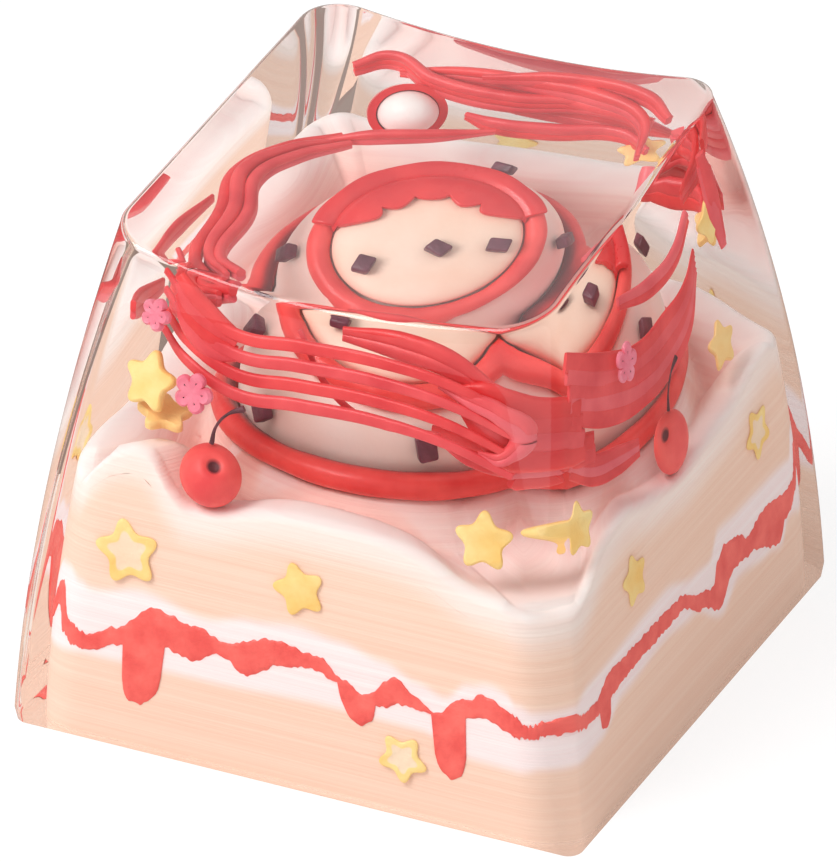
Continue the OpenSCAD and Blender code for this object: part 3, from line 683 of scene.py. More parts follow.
def painted_inner_shade(p):
    """Painted shade: 1 on the ring's inner upper edge, next to the bun, which is painted dark."""
    out = math.hypot(p.x - BUN_AT.x, p.y - BUN_AT.y) - FOOT_R
    return smooth((0.1 - out) / 0.3) * smooth((p.z - BUN_AT.z + FOOT_UNDER) / 0.25)


# Painted shade: the foot ring's inner upper edge is painted dark.
store_shade(foot_ring, "painted_inner_shade", painted_inner_shade)
foot_finish = tinted("syrup_painted_shade", "FA544F", "E43A3A", grain=700, rough=0.4, bump=0.15, coat=0.1)
# The dark tones here are painted shade on the ring's inner upper edge.
blended(foot_finish, "painted_inner_shade", "8E2A32", "6E1A24")
settle(foot_ring, "jam", foot_finish, "foot_jam_ring")

# %% [markdown]
# ### Glaze
# The glaze was poured over the back of the disc, where it lies as a crescent, and ran
# down in five short drips. A grid is laid over the disc and its ring from above,
# follows them at a film's distance, and is given its thickness by Solidify.

# %% Glaze over the disc
GLAZE_FROM, GLAZE_SWEEP, GLAZE_REACH, GLAZE_THICK = 15, 150, 3.56, 0.24


def ring_crown(q):
    """Height of the jam ring's top at a distance from the disc's middle."""
    out = q - RING_R
    return RING_LEVEL + math.sqrt(max(0, RING_THICK**2 - out * out))


def disc_crown(q):
    """Height of the disc's top at a distance from its middle."""
    return DISC_CROWN * math.sqrt(max(0, 1 - min(1, q / DISC_R) ** 4))


def glaze_place(u, v):
    a = math.radians(GLAZE_FROM + GLAZE_SWEEP * u)
    reach = GLAZE_REACH + 0.02 * math.sin(9 * u * math.pi)
    drips = (0.34 + 0.1 * math.sin(9 * u)) * abs(math.sin(5 * math.pi * u)) ** 0.6
    start = 2.0 + 0.75 * (2 * u - 1) ** 4 - drips
    q = start + (reach - start) * v
    z = max(disc_crown(q) if q < DISC_R else -1, ring_crown(q)) + 0.06
    return Vector((q * math.cos(a), q * math.sin(a), z))


def apply_all(piece):
    """Applies the piece's modifiers in order."""
    deselect()
    bpy.context.view_layer.objects.active = piece
    piece.select_set(True)
    for change in list(piece.modifiers):
        bpy.ops.object.modifier_apply(modifier=change.name)


glaze = rolled("disc_glaze", 90, 30, glaze_place, angle=60)
for v in glaze.data.vertices:
    v.co = DISC_TURN @ v.co + DISC_AT * MM
coat = glaze.modifiers.new("film", "SOLIDIFY")
coat.thickness, coat.offset = GLAZE_THICK * MM, 1
soften = glaze.modifiers.new("soften", "SUBSURF")
soften.levels = soften.render_levels = 1
apply_all(glaze)
finish_mesh(glaze, 60, holes=False)
settle(glaze, "glaze", glaze_finish, "disc_glaze")

# %% Meringue ball in its cup of glaze
BALL_AT, BALL_R, CUP_IN, CUP_OUT = Vector((-2.903, 4.998, 12.997)), 0.95, 1.0, 1.27
CUP_TURN = Matrix.Rotation(math.radians(40), 3, "Y") @ Matrix.Rotation(math.radians(35), 3, "X")
ball = turned("meringue_ball", arc(BALL_R, -90, 90, 36), BALL_AT, steps=64)
settle(ball, "meringue", meringue_finish, "meringue_ball")
cup_outline = arc(CUP_OUT, -90, 0, 20) + arc(CUP_IN, 0, -90, 20)
cup = turned("ball_glaze", cup_outline, BALL_AT, CUP_TURN, steps=64)
settle(cup, "glaze", glaze_finish, "ball_glaze")

# %% [markdown]
# ## Cherries
# Each cherry is turned from a profile with a dimple at the top, where its stalk
# stands. The stalk is a thin curve with a small knob at its end.

# %% Cherries and stalks


def thread(name, points, width, flat=0.0, radii=None):
    """Curve through points in millimetres, as a cord or, with flat, as an upright band."""
    deselect()
    bpy.ops.curve.primitive_bezier_curve_add()
    curve = bpy.context.object
    curve.name = name
    spline = curve.data.splines[0]
    spline.bezier_points.add(len(points) - 2)
    for k, (spot, p) in enumerate(zip(spline.bezier_points, points)):
        spot.co = Vector(p) * MM
        spot.handle_left_type = spot.handle_right_type = "AUTO"
        spot.radius = radii[k] if radii else 1
    curve.data.twist_mode = "Z_UP"
    curve.data.bevel_depth = width / 2 * MM
    curve.data.extrude = flat / 2 * MM
    curve.data.bevel_resolution = 3
    curve.data.resolution_u = 14
    curve.data.use_fill_caps = True
    bpy.ops.object.convert(target="MESH")
    return finish_mesh(bpy.context.object, 50)


CHERRY_R, STALK_BEND = 0.96, 1.3
CHERRY_PROFILE = [(0, -0.9)] + arc(0.95, -78, 66, 18, squash=0.97) + [(0.26, 0.82), (0.15, 0.74), (0, 0.7)]
DIMPLE_TURN = Matrix.Rotation(math.radians(25), 3, "Z") @ Matrix.Rotation(math.radians(48), 3, "X")
cherry_finish = tinted("cherry_skin", "FA625C", "EA4649", grain=900, rough=0.5, bump=0.15, coat=0.05)
# The dimple round the stalk is painted dark, as painted shade in its hollow.
blended(cherry_finish, "dimple", "6A2430", "4E1A24")
for name, place, aim in (("cherry_left", -0.188, 10), ("cherry_right", 1.01, 100)):
    at = outline(place, rim(place) + 0.05 + CHERRY_R, CHERRY_R + 0.1, CAKE_CORNER)
    fruit = turned(name, CHERRY_PROFILE, at, DIMPLE_TURN, steps=64, angle=60)
    stalk_side = DIMPLE_TURN @ Vector((0, 0, 1))
    # Painted shade: 1 in the dimple where the stalk stands.
    store_shade(fruit, "dimple", lambda p: smooth(((p - at).normalized().dot(stalk_side) - 0.955) / 0.025))
    settle(fruit, "cherry", cherry_finish, name)
    a = math.radians(aim)
    line = []
    for t in (0, 25, 50, 75):
        r, z = STALK_BEND * (1 - math.cos(math.radians(t))), STALK_BEND * math.sin(math.radians(t))
        line.append(at + Vector((r * math.cos(a), r * math.sin(a), 1.01 + z)))
    stalk = thread(name + "_stalk", line, 0.11, radii=[1.5, 0.8, 0.8, 1.9])
    settle(stalk, "stalk", stalk_finish, name + "_stalk")

# %% [markdown]
# ## Star biscuits
# A star starts as a fine circle whose rim is pushed in and out, once for each point,
# which gives the soft tips of a cut biscuit. It is extruded in steps that round its
# edge. The outlined stars get an inset and a sunk middle with a stored shade, so that
# only their rim is yellow. Each copy is its own mesh.

# %% Helper for stars


def star_edge(points, a):
    """Share of the full radius at which a star's rim lies, for an angle from its top point."""
    return 0.8 + 0.165 * math.cos(points * a) + 0.02 * math.cos(2 * points * a)


def star(name, r, points, thick, sunk):
    """Soft star on the XY plane, in millimetres, with a sunk middle where sunk is over 0."""
    deselect()
    bpy.ops.mesh.primitive_circle_add(vertices=24 * points, radius=r * MM, fill_type="NGON")
    piece = bpy.context.object
    piece.name = name
    for v in piece.data.vertices:
        a = math.atan2(v.co.x, v.co.y)
        v.co *= star_edge(points, a)
    bpy.ops.object.mode_set(mode="EDIT")
    bpy.ops.mesh.select_all(action="SELECT")
    bpy.ops.transform.translate(value=(0, 0, -thick / 2 * MM))
    bpy.ops.transform.resize(value=(0.92, 0.92, 1), center_override=(0, 0, 0))
    for rise, swell in ((0.2, 1.08), (0.5, 1.0), (0.18, 0.965), (0.12, 0.93)):
        bpy.ops.mesh.extrude_region_move(TRANSFORM_OT_translate={"value": (0, 0, rise * thick * MM)})
        bpy.ops.transform.resize(value=(swell, swell, 1), center_override=(0, 0, 0))
    if sunk:
        for share in (0.74, 0.88):
            bpy.ops.mesh.extrude_region_move(TRANSFORM_OT_translate={"value": (0, 0, -sunk / 2 * MM)})
            bpy.ops.transform.resize(value=(share, share, 1), center_override=(0, 0, 0))
    bpy.ops.object.mode_set(mode="OBJECT")
    layer = piece.data.attributes.new("middle", "FLOAT_COLOR", "POINT")
    for v, c in zip(piece.data.vertices, layer.data):
        a = math.atan2(v.co.x, v.co.y)
        edge = r * MM * star_edge(points, a)
        inner = 1 if sunk and v.co.z > 0 and v.co.xy.length < 0.64 * edge else 0
        c.color = (inner, inner, inner, 1)
    return piece


def lay(piece, at, turn):
    """Puts a piece made at the origin in its place."""
    for v in piece.data.vertices:
        v.co = turn @ v.co + Vector(at) * MM
    return finish_mesh(piece, 40, holes=False)


def euler(x, y, z):
    """Turns about X, then Y, then Z, in degrees."""
    return (Matrix.Rotation(math.radians(z), 3, "Z") @ Matrix.Rotation(math.radians(y), 3, "Y")
            @ Matrix.Rotation(math.radians(x), 3, "X"))


def on_side(u, z, out):
    """Place and turn on the cake's side, with Z pointing out of it."""
    p = outline(u, z, SKIN - out, CAKE_CORNER)
    q = outline(u, z + 0.5, SKIN - out, CAKE_CORNER)
    lean = math.degrees(math.atan2((Vector((q.x, q.y)) - Vector((p.x, p.y))).length, 0.5))
    return p, Matrix.Rotation(math.radians(90 * math.floor(u + 0.5)), 3, "Z") @ Matrix.Rotation(
        math.radians(90 - lean), 3, "X")


# %% Stars on the cake's sides
# Place, height, radius, turn and how deep the middle is sunk
SIDE_STARS = [
    (-0.292, 6.2, 1.05, 12, 0.03), (0.002, 6.3, 0.85, 20, 0), (0.171, 1.75, 0.8, 40, 0.03),
    (0.828, 6, 0.8, 5, 0), (1.273, 6.3, 0.85, 25, 0.03), (2.05, 6.3, 0.9, 10, 0),
    (3.05, 6.2, 0.9, 30, 0.03),
]
blended(biscuit_finish, "middle", "FBE2C4", "F8D6B6")
for k, (u, z, r, turn, sunk) in enumerate(SIDE_STARS, 1):
    at, face = on_side(u, z, 0.06)
    flat = star("side_star_%d" % k, r, 5, 0.1, sunk)
    lay(flat, at, face @ Matrix.Rotation(math.radians(turn), 3, "Z"))
    settle(flat, "biscuit", biscuit_finish, "side_star_%d" % k)

# %% Stars standing in the resin
# Shares of the half width and half depth and a height over the bowl, turns, radius, points, finish
LOOSE_STARS = [
    ((-0.688, -0.821, 4), (68, 0, -20), 0.95, 5, biscuit_finish),
    ((-0.622, -0.764, 2.95), (12, 0, 15), 0.9, 5, amber_finish),
    ((0.666, -0.811, 1.55), (68, 0, 15), 0.92, 5, biscuit_finish),
    ((0.861, -0.709, 1.75), (70, 0, 58), 0.82, 5, biscuit_finish),
    ((0.781, 0.543, 2.2), (60, 0, 80), 0.8, 5, amber_finish),
    ((0.85, 0.598, 6.2), (80, 0, 70), 0.7, 4, biscuit_finish),
    ((0.658, 0.699, 5.4), (40, 0, 30), 0.8, 5, biscuit_finish),
]


def over_bowl(x, y, high):
    """Point from shares of the block's half width and half depth, at a height over the bowl."""
    z = BOWL_FLOOR + high
    middle, deep = (back_y(z) + front_y(z)) / 2, back_y(z) - front_y(z)
    return Vector((x * half_x(z), middle + y * deep / 2, z))


for k, (place, turns, r, points, finish) in enumerate(LOOSE_STARS, 1):
    loose = star("star_biscuit_%d" % k, r, points, 0.3, 0)
    lay(loose, over_bowl(*place), euler(*turns))
    settle(loose, "biscuit", finish, "star_biscuit_%d" % k)

# %% [markdown]
# ## Flowers and chocolate
# A flower is a circle whose rim waves in and out five times, with a shallow sunk
# middle. A chip is a cube with its edges bevelled and its corners shifted a little, so
# that no two chips are alike.

# %% Flowers
FLOWERS = [
    ((-0.487, -0.913, 0.458), (80, 0, -5), 0.62), ((0.939, -0.272, 0.548), (84, 0, 86), 0.62),
    ((-0.703, -0.912, 0.672), (75, 0, -15), 0.5),
]


def inside(x, y, share):
    """The same, with the height as a share of the clear resin over the bowl."""
    return over_bowl(x, y, share * (BLOCK_HIGH - BOWL_FLOOR))


for k, (place, turns, r) in enumerate(FLOWERS, 1):
    deselect()
    bpy.ops.mesh.primitive_circle_add(vertices=80, radius=r * MM, fill_type="NGON")
    flower = bpy.context.object
    flower.name = "flower_%d" % k
    for v in flower.data.vertices:
        a = math.atan2(v.co.y, v.co.x)
        v.co *= 0.62 + 0.38 * abs(math.cos(2.5 * a)) ** 0.55
    bpy.ops.object.mode_set(mode="EDIT")
    bpy.ops.mesh.select_all(action="SELECT")
    bpy.ops.transform.translate(value=(0, 0, -0.12 * MM))
    bpy.ops.mesh.extrude_region_move(TRANSFORM_OT_translate={"value": (0, 0, 0.16 * MM)})
    bpy.ops.mesh.extrude_region_move(TRANSFORM_OT_translate={"value": (0, 0, 0.08 * MM)})
    bpy.ops.transform.resize(value=(0.86, 0.86, 1), center_override=(0, 0, 0))
    bpy.ops.mesh.inset(thickness=0.3 * r * MM)
    bpy.ops.transform.translate(value=(0, 0, -0.05 * MM))
    bpy.ops.object.mode_set(mode="OBJECT")
    lay(flower, inside(*place), euler(*turns))
    settle(flower, "flower", flower_finish, "flower_%d" % k)

# %% Chocolate chips
CHIP = 0.62


def chip_spots():
    """Place and turn of each chip: three on the disc, then five on the bun."""
    for k, (q, a) in enumerate([(2.2, -15), (0.6, -60), (2.2, -150)]):
        spin = Matrix.Rotation(math.radians(a), 3, "Z")
        up = spin @ Vector((q, 0, disc_crown(q - CHIP / 2) + 0.05))
        yield DISC_AT + DISC_TURN @ up, DISC_TURN @ spin @ euler(0, 0, 20 * k)
    for k, (a, b) in enumerate([(-58, 32), (30, 10), (-36, 9), (104, 30), (172, 36)], 3):
        p, q0, q1 = bun_profile(b), bun_profile(b - 1), bun_profile(b + 1)
        lean = math.atan2(q1[1] - q0[1], q0[0] - q1[0])
        turn = Matrix.Rotation(math.radians(a), 3, "Z") @ Matrix.Rotation(lean, 3, "X")
        base = Matrix.Rotation(math.radians(a), 3, "Z") @ Vector((0, -p[0], p[1]))
        yield BUN_AT + base + turn @ Vector((0, 0, 0.1)), turn @ euler(0, 0, 25 * k)


for k, (at, turn) in enumerate(chip_spots(), 1):
    deselect()
    bpy.ops.mesh.primitive_cube_add(size=1, location=(0, 0, 0.35 * CHIP * MM),
                                    scale=(1.15 * CHIP * MM, 0.95 * CHIP * MM, 0.66 * CHIP * MM))
    chip = bpy.context.object
    chip.name = "chocolate_chip_%d" % k
    bpy.ops.object.transform_apply(location=True, rotation=False, scale=True)
    bpy.ops.object.mode_set(mode="EDIT")
    bpy.ops.mesh.select_all(action="SELECT")
    bpy.ops.transform.vertex_random(offset=0.05 * MM, seed=k)
    bpy.ops.mesh.bevel(offset=0.09 * MM, segments=3)
    bpy.ops.object.mode_set(mode="OBJECT")
    lay(chip, at, turn)
    settle(chip, "chocolate", chocolate_finish, "chocolate_chip_%d" % k)

# %% [markdown]
# ## Syrup ribbons
# The ribbons are fruit syrup that was trailed through the resin while it set. A trail
# never runs as one strand, so each ribbon is a bundle of flat threads that lie one
# above the other, cross a little on the way, and differ in tone.

# %% Ribbons
THIN, THICK = 0.24, 0.5
# Points of the way, widths at its start, middle and end, and the tone of each thread
RIBBONS = {
    "ribbon_left": ([(-0.474, -0.817, 0.731), (-0.629, -0.641, 0.656), (-0.693, -0.3, 0.634),
                     (-0.787, -0.041, 0.624), (-0.703, 0.191, 0.613), (-0.54, 0.37, 0.602)],
                    (0.45, 1.2, 0.5), (0.1, 0.7, 0.2, 0)),
    "ribbon_back": ([(-0.539, 0.842, 0.699), (-0.251, 0.893, 0.742), (0.056, 0.896, 0.774),
                     (0.368, 0.869, 0.796), (0.652, 0.746, 0.796), (0.747, 0.497, 0.774)],
                    (0.45, 1.35, 0.45), (0, 0.3, 0.1)),
    "ribbon_right": ([(0.836, -0.681, 0.602), (0.849, -0.387, 0.495), (0.816, -0.086, 0.419),
                      (0.788, 0.134, 0.409), (0.797, 0.333, 0.462), (0.761, 0.479, 0.559)],
                     (2.2, 2, 0.9), (0.1, 0.35, 0.2, 0.5, 0.15)),
    "ribbon_curl": ([(0.725, -0.646, 0.333), (0.767, -0.507, 0.269), (0.785, -0.315, 0.226),
                     (0.821, -0.185, 0.215)],
                    (0.7, 0.9, 0.5), (0.2, 0.8, 0.1)),
    "ribbon_left_tail": ([(-0.868, -0.609, 0.559), (-0.906, -0.336, 0.484), (-0.898, -0.062, 0.441)],
                         (0.5, 0.7, 0.4), (0.1, 0.5)),
}
ribbon_finish = tinted("ribbon_syrup", "F24444", "DA2A30", grain=700, rough=0.4, bump=0.1, coat=0.1)
blended(ribbon_finish, "pale", "F4808A", "E8606C")


def width_at(widths, share):
    """Width of a ribbon at a share of its way, eased from its start to its middle and on to its end."""
    start, middle, end = widths
    tip = start if share < 0.5 else end
    return tip + (middle - tip) * math.sin(math.pi * share)


def bundle(name, points, widths, tones, thick):
    """Ribbon made of one flat thread for each tone, joined to one piece."""
    made = []
    for k, tone in enumerate(tones):
        share = (k + 0.5) / len(tones) - 0.5
        line, radii = [], []
        for j, p in enumerate(points):
            wide = width_at(widths, j / (len(points) - 1))
            wave = 0.03 * wide * math.sin(2.3 * j + 2.1 * k)
            line.append(p + Vector((0, 0, -share * wide + wave)))
            radii.append(wide / max(widths))
        high = max(widths) / len(tones) * 1.4
        part = thread(name, line, thick, flat=max(0.02, high - thick), radii=radii)
        store_shade(part, "pale", lambda p, tone=tone: tone)
        made.append(part)
    deselect()
    for part in made:
        part.select_set(True)
    bpy.context.view_layer.objects.active = made[0]
    if len(made) > 1:
        bpy.ops.object.join()
    made[0].name = name
    return made[0]


for name, (points, widths, tones) in RIBBONS.items():
    thick = THICK if name in ("ribbon_left", "ribbon_back") else THIN
    ribbon = bundle(name, [inside(*p) for p in points], widths, tones, thick)
    settle(ribbon, "fruit_ribbon", ribbon_finish, name)

# %% Front strands
STRAND = [(-0.713, -0.748, 0.667), (-0.57, -0.853, 0.624), (-0.347, -0.862, 0.559), (-0.08, -0.871, 0.57),
          (0.255, -0.881, 0.581), (0.548, -0.875, 0.559), (0.786, -0.793, 0.473)]
STRAND_STEP = 0.62
for k in range(4):
    drop = (k - 1.5) * STRAND_STEP
    line = [inside(*p) - Vector((0, 0, drop)) for p in STRAND]
    strand = bundle("ribbon_strand_%d" % (k + 1), line, (0.2, 0.3, 0.16), (0.1 + 0.15 * (k % 2),), 0.22)
    settle(strand, "fruit_ribbon", ribbon_finish, "ribbon_strand_%d" % (k + 1))

# %% [markdown]
# ### Finer swirls
# Syrup left over from the ribbons was let run into the resin in a few last places.
# These swirls are too fine to be solids of their own, so they are made only here.

# %% Finer swirls
SWIRLS = [
    ([(-4.5, -6.5, 14.2), (-4.1, -6.6, 13.6), (-3.4, -6.6, 13.1), (-2.6, -6.6, 12.8)],
     (1.1, 1.6, 0.9), (0, 0.15, 0, 0.3)),
    ([(0.6, -6.25, 13.8), (2.4, -6.3, 13.85), (3.95, -6.25, 13.6), (5.3, -6.0, 12.85)],
     (0.4, 0.8, 0.5), (0, 0.1)),
    ([(-0.7, -6.45, 13.7), (0.3, -6.5, 12.1), (1.6, -6.5, 11.4), (3.8, -6.5, 11.45)],
     (0.12, 0.16, 0.12), (0.3,)),
    ([(3.7, -6.55, 13.0), (4.7, -6.6, 12.8), (5.6, -6.45, 12.5),
      (6.05, -6.2, 11.9), (5.7, -6.35, 11.1), (5.0, -6.55, 11.2)], (0.15, 0.6, 0.1), (0.3, 0.6)),
    ([(-5.2, 5.9, 13.8), (-4.3, 6.7, 14.0), (-2.6, 6.2, 13.8),
      (0, 6.2, 13.7), (2.2, 6.6, 13.8), (4.8, 6.2, 13.8)], (0.7, 1.1, 0.6), (0.1, 0, 0.25)),
    ([(-1.0, 6.2, 14.9), (1.5, 6.8, 15.1), (4.2, 6.5, 15.2), (5.5, 5.4, 15.2)],
     (0.4, 0.9, 0.5), (0, 0.2)),
    ([(-1.2, 5.6, 12.9), (-0.2, 5.4, 12.9), (1.7, 5.7, 12.8), (3.9, 6.0, 12.9), (5.2, 5.2, 13.0)],
     (0.4, 0.9, 0.4), (0.2, 0)),
    ([(-3.2, 6.9, 12.9), (0, 7.0, 12.9), (3.0, 6.9, 13.0), (5.6, 6.2, 13.1)],
     (0.4, 2.0, 0.5), (0.45, 0.25, 0.1, 0.35)),
    ([(-3.0, -5.9, 14.1), (-4.2, -4.9, 13.5), (-4.6, -2.3, 13.3),
      (-5.3, -0.3, 13.2), (-4.8, 1.3, 13.1), (-3.7, 2.7, 13.0)], (0.5, 0.7, 0.4), (0.15, 0.6)),
    ([(-4.0, -6.1, 13.6), (-5.1, -4.8, 12.9), (-5.6, -2.2, 12.7),
      (-6.2, -0.1, 12.6), (-5.6, 1.9, 12.5), (-4.3, 3.3, 12.5)], (0.6, 0.8, 0.5), (0, 0.3)),
    ([(-4.5, 2.6, 12.9), (-3.3, 3.2, 13.1), (-1.5, 3.9, 13.3), (0.2, 4.7, 13.4)],
     (0.3, 0.7, 0.25), (0.1, 0.4)),
    ([(4.3, -6.35, 12.7), (5.2, -6.2, 12.2), (5.9, -5.6, 11.6), (6.3, -4.7, 11.2)],
     (0.7, 2.1, 1.8), (0, 0.1, 0.3, 0.05)),
    ([(3.4, -6.0, 11.3), (4.6, -5.9, 11.0), (5.6, -5.2, 10.6), (6.2, -4.0, 10.3)],
     (0.3, 1.0, 0.8), (0.05, 0.2)),
    ([(6.1, 4.7, 15.3), (6.35, 5.0, 13.8), (6.5, 5.3, 12.4)],
     (0.7, 1.0, 0.5), (0.2, 0.5)),
    ([(6.1, -1.5, 13.6), (6.2, 0.6, 13.2), (6.1, 2.4, 13.3), (5.8, 3.6, 13.9)],
     (0.3, 0.5, 0.4), (0.5, 0.1)),
]
for k, (points, widths, tones) in enumerate(SWIRLS, 1):
    thick = 0.12 if max(widths) < 0.2 else 0.42
    swirl = bundle("syrup_swirl_%d" % k, [Vector(p) for p in points], widths, tones, thick)
    settle(swirl, "fruit_ribbon", ribbon_finish)

# %% [markdown]
# ## The clear block
# The resin is one closed skin. Outside it follows the block, with a small round along
# the top edge that catches the light. Inside it follows the cake and closes over
# inside the sponge, where nothing shows, so that light in the resin meets the cake
# with no gap of air between them.

# %% Clear block


def top_edge(u):
    """Height at which the wall meets the dished top."""
    z = BLOCK_HIGH
    for _ in range(30):
        p = outline(u, z, 0, corner_r(z))
        z = top_z(p.x, p.y)
    return z


EDGE_ROUND, FOOT_ROUND = 0.22, 0.08
INNER_TOP, INNER_LEAN, INNER_FOOT = 5.5, 0.45, 0.02


def block_place(u, v):
    at = u * 4 - 0.5
    edge = top_edge(at)
    if v <= 0.08:
        p = ring_at(at, INNER_TOP, SKIN + INNER_LEAN) * (v / 0.08)
        return Vector((p.x, p.y, INNER_TOP))
    if v <= 0.16:
        t = (v - 0.08) / 0.08
        return ring_at(at, INNER_TOP * (1 - t) + INNER_FOOT * t, SKIN + INNER_LEAN * (1 - t) + 0.03)
    if v <= 0.2:
        t = (v - 0.16) / 0.04
        return ring_at(at, 0, SKIN) * (1 - t) + outline(at, 0, FOOT_ROUND, corner_r(0)) * t
    if v <= 0.7:
        t = (v - 0.2) / 0.5
        z = FOOT_ROUND + t * (edge - EDGE_ROUND - FOOT_ROUND)
        return outline(at, z, 0, corner_r(z))
    if v <= 0.78:
        turn = (v - 0.7) / 0.08 * math.pi / 2
        inset = EDGE_ROUND * (1 - math.cos(turn))
        p = outline(at, edge - EDGE_ROUND, inset, corner_r(edge) - inset)
        rise = EDGE_ROUND * math.sin(turn)
        return Vector((p.x, p.y, top_z(p.x, p.y) - EDGE_ROUND + rise))
    share = (1 - v) / 0.22
    p = outline(at, edge - EDGE_ROUND, EDGE_ROUND, corner_r(edge) - EDGE_ROUND)
    return Vector((p.x * share, p.y * share, top_z(p.x * share, p.y * share)))


block = rolled("clear_block", 240, 100, block_place, angle=30)

# %% [markdown]
# ### Clear finish
# The resin bends light as real resin does, with a touch of warmth in its colour. Rays
# that only carry lamp light or bounced light pass straight through, which keeps the
# cake lit without the grain of focused light. Two helpers pick a shader by the kind
# of ray, and the table and the room use them again.

# %% Clear finish


def either(tree, one, other):
    """1 for rays of either kind."""
    most = tree.nodes.new("ShaderNodeMath")
    most.operation = "MAXIMUM"
    tree.links.new(one, most.inputs[0])
    tree.links.new(other, most.inputs[1])
    return most.outputs[0]


def picked(tree, ray, usual, special):
    """The special shader for rays of one kind, the usual one for the rest."""
    mix = tree.nodes.new("ShaderNodeMixShader")
    for socket, source in zip(mix.inputs, (ray, usual, special)):
        tree.links.new(source, socket)
    return mix.outputs[0]


clear_finish = bpy.data.materials.new("clear_resin")
clear_finish.use_nodes = True
tree = clear_finish.node_tree
resin = tree.nodes["Principled BSDF"]
resin.inputs["Base Color"].default_value = (1, 0.965, 0.945, 1)
resin.inputs["Transmission Weight"].default_value = 1
resin.inputs["Roughness"].default_value = 0.0
resin.inputs["IOR"].default_value = 1.5
passed = tree.nodes.new("ShaderNodeBsdfTransparent")
rays = tree.nodes.new("ShaderNodeLightPath").outputs
lighting = either(tree, rays["Is Shadow Ray"], rays["Is Diffuse Ray"])
surface = picked(tree, lighting, resin.outputs[0], passed.outputs[0])
tree.links.new(surface, tree.nodes["Material Output"].inputs["Surface"])
settle(block, "clear_resin", clear_finish, "clear_casting")

# %% [markdown]
# ## Floor, light and camera
# The keycap stands on a plain white table in soft light. The room gives an even
# level, one large lamp from the left front makes the right side a little darker, and
# a weak one from the right lifts that side again. A dull white table would look grey
# in such soft light, so to the eye it glows a little, which still leaves the keycap's
# shadow on it. Seen through the resin it is painted warmer, as is the room, a painted
# warm light in the resin. In reflections it is dim, so that the right wall doesn't
# mirror it over the jam. The light that it throws back on the cake comes from a plain
# white surface. The camera stands far off with a long lens, as for a picture of
# something this small.

# %% Floor


def by_ray(tree, ray, usual, special):
    """One colour for rays of one kind and another for the rest."""
    mix = tree.nodes.new("ShaderNodeMix")
    mix.data_type = "RGBA"
    mix.inputs[6].default_value, mix.inputs[7].default_value = (*usual, 1), (*special, 1)
    tree.links.new(ray, mix.inputs[0])
    return mix.outputs[2]


deselect()
bpy.ops.mesh.primitive_plane_add(size=4, location=(0, 0, -0.04 * MM))
floor = bpy.context.object
floor.name = "table_top"
white = bpy.data.materials.new("white_table")
white.use_nodes = True
tree = white.node_tree
plain = tree.nodes["Principled BSDF"]
plain.inputs["Base Color"].default_value = (0.9, 0.9, 0.9, 1)
plain.inputs["Roughness"].default_value = 0.7
plain.inputs["Specular IOR Level"].default_value = 0.2
rays = tree.nodes.new("ShaderNodeLightPath").outputs
pale = tree.nodes.new("ShaderNodeBsdfDiffuse")
pale.inputs["Color"].default_value = (0.3, 0.3, 0.3, 1)
glow = tree.nodes.new("ShaderNodeEmission")
# Seen through the resin the table glows peach: painted warm light in the resin.
glow_colour = by_ray(tree, rays["Is Transmission Ray"], (0.76, 0.76, 0.76), (0.72, 0.6, 0.5))
tree.links.new(glow_colour, glow.inputs["Color"])
both = tree.nodes.new("ShaderNodeAddShader")
tree.links.new(pale.outputs[0], both.inputs[0])
tree.links.new(glow.outputs[0], both.inputs[1])
mirrored = tree.nodes.new("ShaderNodeEmission")
mirrored.inputs["Color"].default_value = (0.3, 0.22, 0.19, 1)
shown = picked(tree, rays["Is Glossy Ray"], both.outputs[0], mirrored.outputs[0])
surface = picked(tree, rays["Is Diffuse Ray"], shown, plain.outputs[0])
tree.links.new(surface, tree.nodes["Material Output"].inputs["Surface"])
floor.data.materials.append(white)

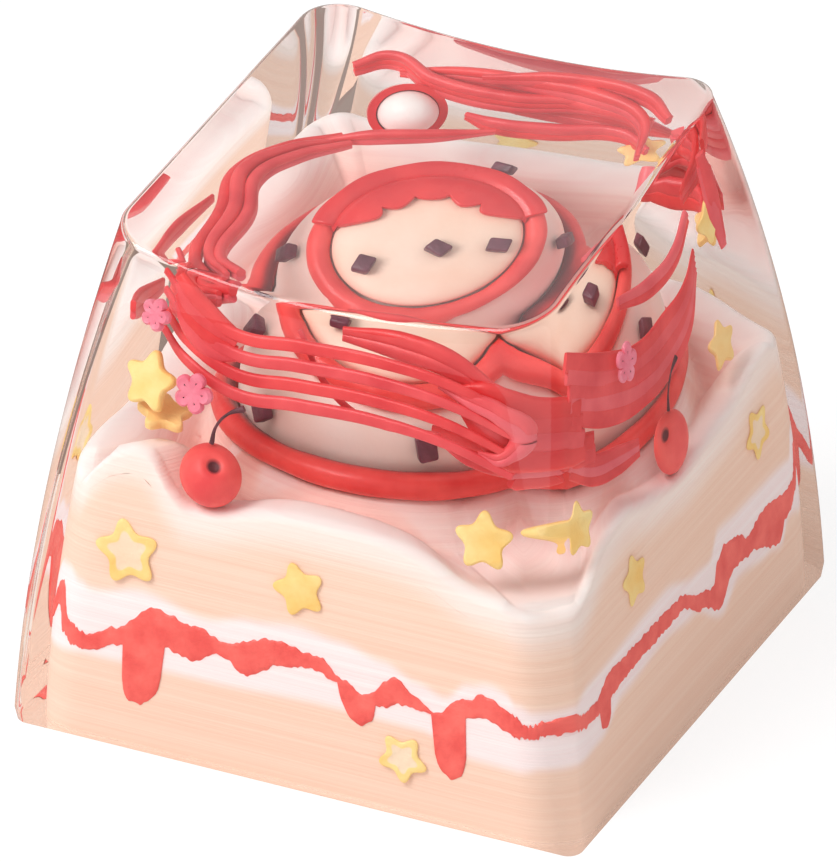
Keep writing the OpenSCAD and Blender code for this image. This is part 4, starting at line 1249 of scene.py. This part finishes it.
# %% Light
world = bpy.data.worlds.new("soft_room")
bpy.context.scene.world = world
world.use_nodes = True
tree = world.node_tree
back = tree.nodes["Background"]
back.inputs["Color"].default_value = (1, 1, 1, 1)
back.inputs["Strength"].default_value = 0.54
rays = tree.nodes.new("ShaderNodeLightPath").outputs
seen = tree.nodes.new("ShaderNodeBackground")
seen.inputs["Strength"].default_value = 1
# Seen through the resin the room is peach too: painted warm light in the resin.
seen_colour = by_ray(tree, rays["Is Transmission Ray"], (1, 1, 1), (1, 0.88, 0.8))
tree.links.new(seen_colour, seen.inputs["Color"])
sight = either(tree, rays["Is Camera Ray"], rays["Is Glossy Ray"])
sight = either(tree, sight, rays["Is Transmission Ray"])
surface = picked(tree, sight, back.outputs[0], seen.outputs[0])
tree.links.new(surface, tree.nodes["World Output"].inputs["Surface"])

AIM_AT = Vector((0, 0, 7)) * MM


def lamp(name, at, size, watts):
    """Round area lamp that points at the keycap."""
    bpy.ops.object.light_add(type="AREA", location=at)
    made = bpy.context.object
    made.name = name
    made.data.shape = "DISK"
    made.data.size = size
    made.data.energy = watts
    made.rotation_euler = (AIM_AT - Vector(at)).to_track_quat("-Z", "Y").to_euler()


lamp("key_light", (-0.45, -0.6, 0.75), 0.6, 6.6)
lamp("fill_light", (0.7, 0.25, 0.9), 0.9, 1.0)

# %% Camera
bpy.ops.object.camera_add()
camera = bpy.context.object
# A pinhole camera was fitted to the photograph, with its focal length and shift in pixels.
FOCAL, SHIFT_ACROSS, SHIFT_UP = 9999, 424.38 - 418.5, 437.59 - 431
eye = Vector((108.122, -229.745, 150.311)) * MM
camera.location = eye
camera.data.sensor_width = 36
camera.data.lens = 417.6
camera.data.clip_start, camera.data.clip_end = 0.01, 10
aim = AIM_AT - eye
across = aim.cross(Vector((0, 0, 1))).normalized()
upward = across.cross(aim).normalized()
aim = aim + (-across * SHIFT_ACROSS + upward * SHIFT_UP) * (aim.length / FOCAL)
camera.rotation_euler = aim.to_track_quat("-Z", "Y").to_euler()
bpy.context.scene.camera = camera

# %% Picture settings
scene = bpy.context.scene
scene.view_settings.view_transform = "Standard"
scene.cycles.use_denoising = True
scene.cycles.max_bounces = 24
scene.cycles.transmission_bounces = 20
scene.cycles.glossy_bounces = 8
scene.cycles.transparent_max_bounces = 16
